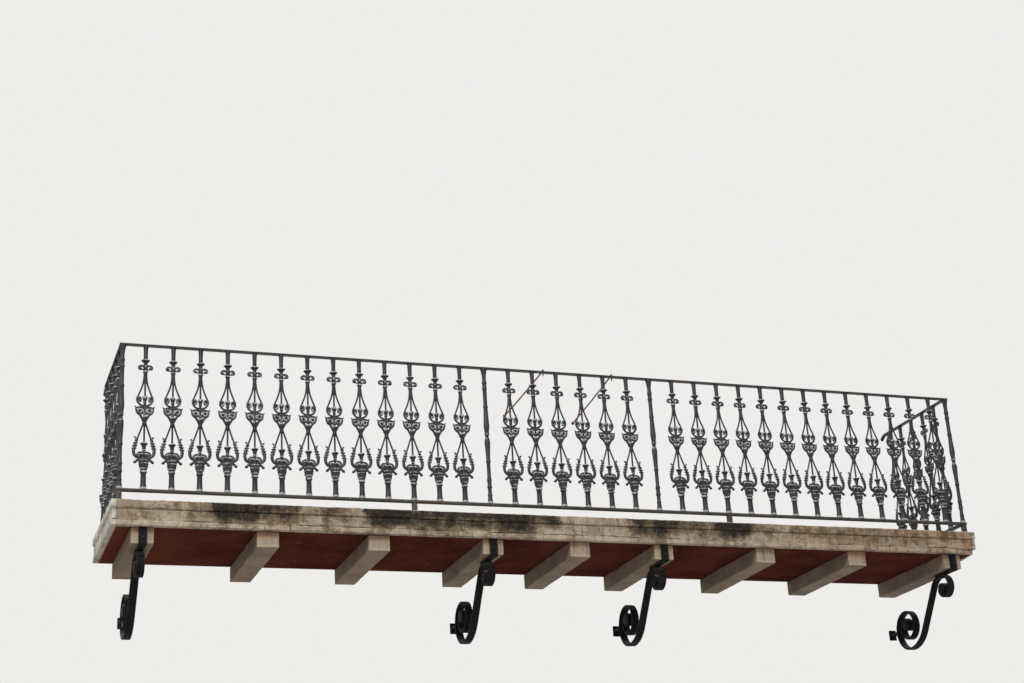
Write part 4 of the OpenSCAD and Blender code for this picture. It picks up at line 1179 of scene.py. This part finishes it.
class BALCONY_OT_make_brackets(Operator):
    """Forge the four scroll brackets"""

    bl_idname = "balcony.make_brackets"
    bl_label = "Make brackets"

    def execute(self, context):
        one, paint = bracket(), bracket_paint()
        for k in range(1, 5):
            node = f"bracket_{k}"
            place = Matrix.Translation((centre_of(node)[0], low(node)[1], low("joist_1")[2]))
            piece(node + "_iron", one.copies([place]), paint, [node])
        return {"FINISHED"}


# Stage


class BALCONY_OT_make_stage(Operator):
    """Set the floor, the lamps, the even light and the camera"""

    bl_idname = "balcony.make_stage"
    bl_label = "Make stage"

    def execute(self, context):
        settings = context.scene.balcony_stage
        self.floor(settings)
        self.lamp("key_lamp", (-6.6, -8.6, 7.2), settings.key)
        self.lamp("fill_lamp", (3.0, -8.0, -3.6), settings.fill)
        self.sky(settings)
        self.camera()
        context.scene.view_settings.view_transform = "Standard"
        return {"FINISHED"}

    @staticmethod
    def floor(settings):
        f = Finish("studio_floor", settings.floor)
        f.coat(shade(settings.floor, 0.96), f.cloud(1.2, 3), 0.3, 0.7)
        f.bump(f.cloud(40, 3), 0.05, 0.002)
        f.feed(f.shader.inputs["Base Color"], f.base)
        f.shader.inputs["Roughness"].default_value = 0.9
        shape = worn_block(Shape(), (-7, -5, -4.5), (7, 3, -4.4), 1.0, 0.02, 0, 1)
        points, quads, _, _ = shape.packed()
        mesh = bpy.data.meshes.new("studio_floor")
        mesh.from_pydata(points.tolist(), [], quads.tolist())
        mesh.materials.append(f.material)
        linked("studio_floor", mesh)

    @staticmethod
    def lamp(name, place, power):
        data = bpy.data.lights.new(name, "AREA")
        data.shape, data.size, data.size_y, data.energy = "RECTANGLE", 5.0, 3.5, power
        made = linked(name, data)
        made.location = place
        target = Vector((0, -0.4, 0))
        made.rotation_euler = (target - Vector(place)).to_track_quat("-Z", "Y").to_euler()

    @staticmethod
    def sky(settings):
        """Even light on the balcony, with the backdrop's colour where a ray leaves the scene."""
        world = bpy.data.worlds.new("studio_sky")
        bpy.context.scene.world = world
        world.use_nodes = True
        tree = world.node_tree
        tree.nodes.clear()
        kinds = ("OutputWorld", "MixShader", "Background", "Background", "LightPath", "Math", "Math")
        out, mix, seen, even, rays, first, both = (tree.nodes.new("ShaderNode" + kind) for kind in kinds)
        seen.inputs["Color"].default_value = (*settings.backdrop, 1)
        even.inputs["Color"].default_value = (0.93, 0.96, 1.0, 1)
        even.inputs["Strength"].default_value = settings.sky
        first.operation = both.operation = "MAXIMUM"
        for a, b in (
            (rays.outputs["Is Camera Ray"], first.inputs[0]),
            (rays.outputs["Is Glossy Ray"], first.inputs[1]),
            (first.outputs[0], both.inputs[0]),
            (rays.outputs["Is Transmission Ray"], both.inputs[1]),
            (both.outputs[0], mix.inputs["Fac"]),
            (even.outputs[0], mix.inputs[1]),
            (seen.outputs[0], mix.inputs[2]),
            (mix.outputs[0], out.inputs["Surface"]),
        ):
            tree.links.new(a, b)

    @staticmethod
    def camera():
        """The photograph's camera, with its focal length in pixels of a picture 1024 wide."""
        place = Vector((-4.0385, -10.7254, -2.8641))
        azimuth, elevation, roll, focal = 0.3560, 0.3690, -0.0603, 1732.0
        level = Vector((math.sin(azimuth), math.cos(azimuth), 0)) * math.cos(elevation)
        ahead = level + Vector((0, 0, math.sin(elevation)))
        right = Vector((math.cos(azimuth), -math.sin(azimuth), 0))
        up = right.cross(ahead)
        side = math.cos(roll) * right + math.sin(roll) * up
        top = math.cos(roll) * up - math.sin(roll) * right
        data = bpy.data.cameras.new("street_view")
        data.sensor_fit, data.sensor_width, data.lens = "HORIZONTAL", 36.0, focal * 36.0 / 1024
        data.clip_start, data.clip_end = 0.1, 100
        made = linked("street_view", data)
        axes = Matrix((side, top, -ahead)).transposed()
        made.matrix_world = Matrix.Translation(place) @ axes.to_4x4()
        bpy.context.scene.camera = made


OPERATORS = (
    BALCONY_OT_make_stage,
    BALCONY_OT_make_floor,
    BALCONY_OT_make_soffit,
    BALCONY_OT_make_joists,
    BALCONY_OT_make_brackets,
    BALCONY_OT_make_rails,
    BALCONY_OT_make_feet,
    BALCONY_OT_make_posts,
    BALCONY_OT_make_balusters,
    BALCONY_OT_make_stays,
)
SETTINGS = {
    "balcony_railing": RailingSizes,
    "balcony_stone": StoneSizes,
    "balcony_iron": IronFinish,
    "balcony_stone_finish": StoneFinish,
    "balcony_stage": StageSettings,
}


class BALCONY_PT_panel(Panel):
    """Sizes, colours and pieces of the balcony"""

    bl_idname = "BALCONY_PT_panel"
    bl_label = "Iron balcony"
    bl_space_type = "VIEW_3D"
    bl_region_type = "UI"
    bl_category = "Balcony"

    def draw(self, context):
        for key in SETTINGS:
            group = getattr(context.scene, key)
            box = self.layout.box()
            for name in group.__annotations__:
                box.prop(group, name)
        for operator in OPERATORS:
            self.layout.operator(operator.bl_idname)


def register():
    for group in SETTINGS.values():
        bpy.utils.register_class(group)
    for key, group in SETTINGS.items():
        setattr(bpy.types.Scene, key, PointerProperty(type=group))
    for item in (*OPERATORS, BALCONY_PT_panel):
        bpy.utils.register_class(item)


def unregister():
    for item in (BALCONY_PT_panel, *reversed(OPERATORS)):
        bpy.utils.unregister_class(item)
    for key, group in SETTINGS.items():
        delattr(bpy.types.Scene, key)
        bpy.utils.unregister_class(group)


def main():
    register()
    bpy.ops.balcony.make_stage()
    bpy.ops.balcony.make_floor()
    bpy.ops.balcony.make_soffit()
    bpy.ops.balcony.make_joists()
    bpy.ops.balcony.make_brackets()
    bpy.ops.balcony.make_rails()
    bpy.ops.balcony.make_feet()
    bpy.ops.balcony.make_posts()
    bpy.ops.balcony.make_balusters()
    bpy.ops.balcony.make_stays()


if __name__ == "__main__":
    main()
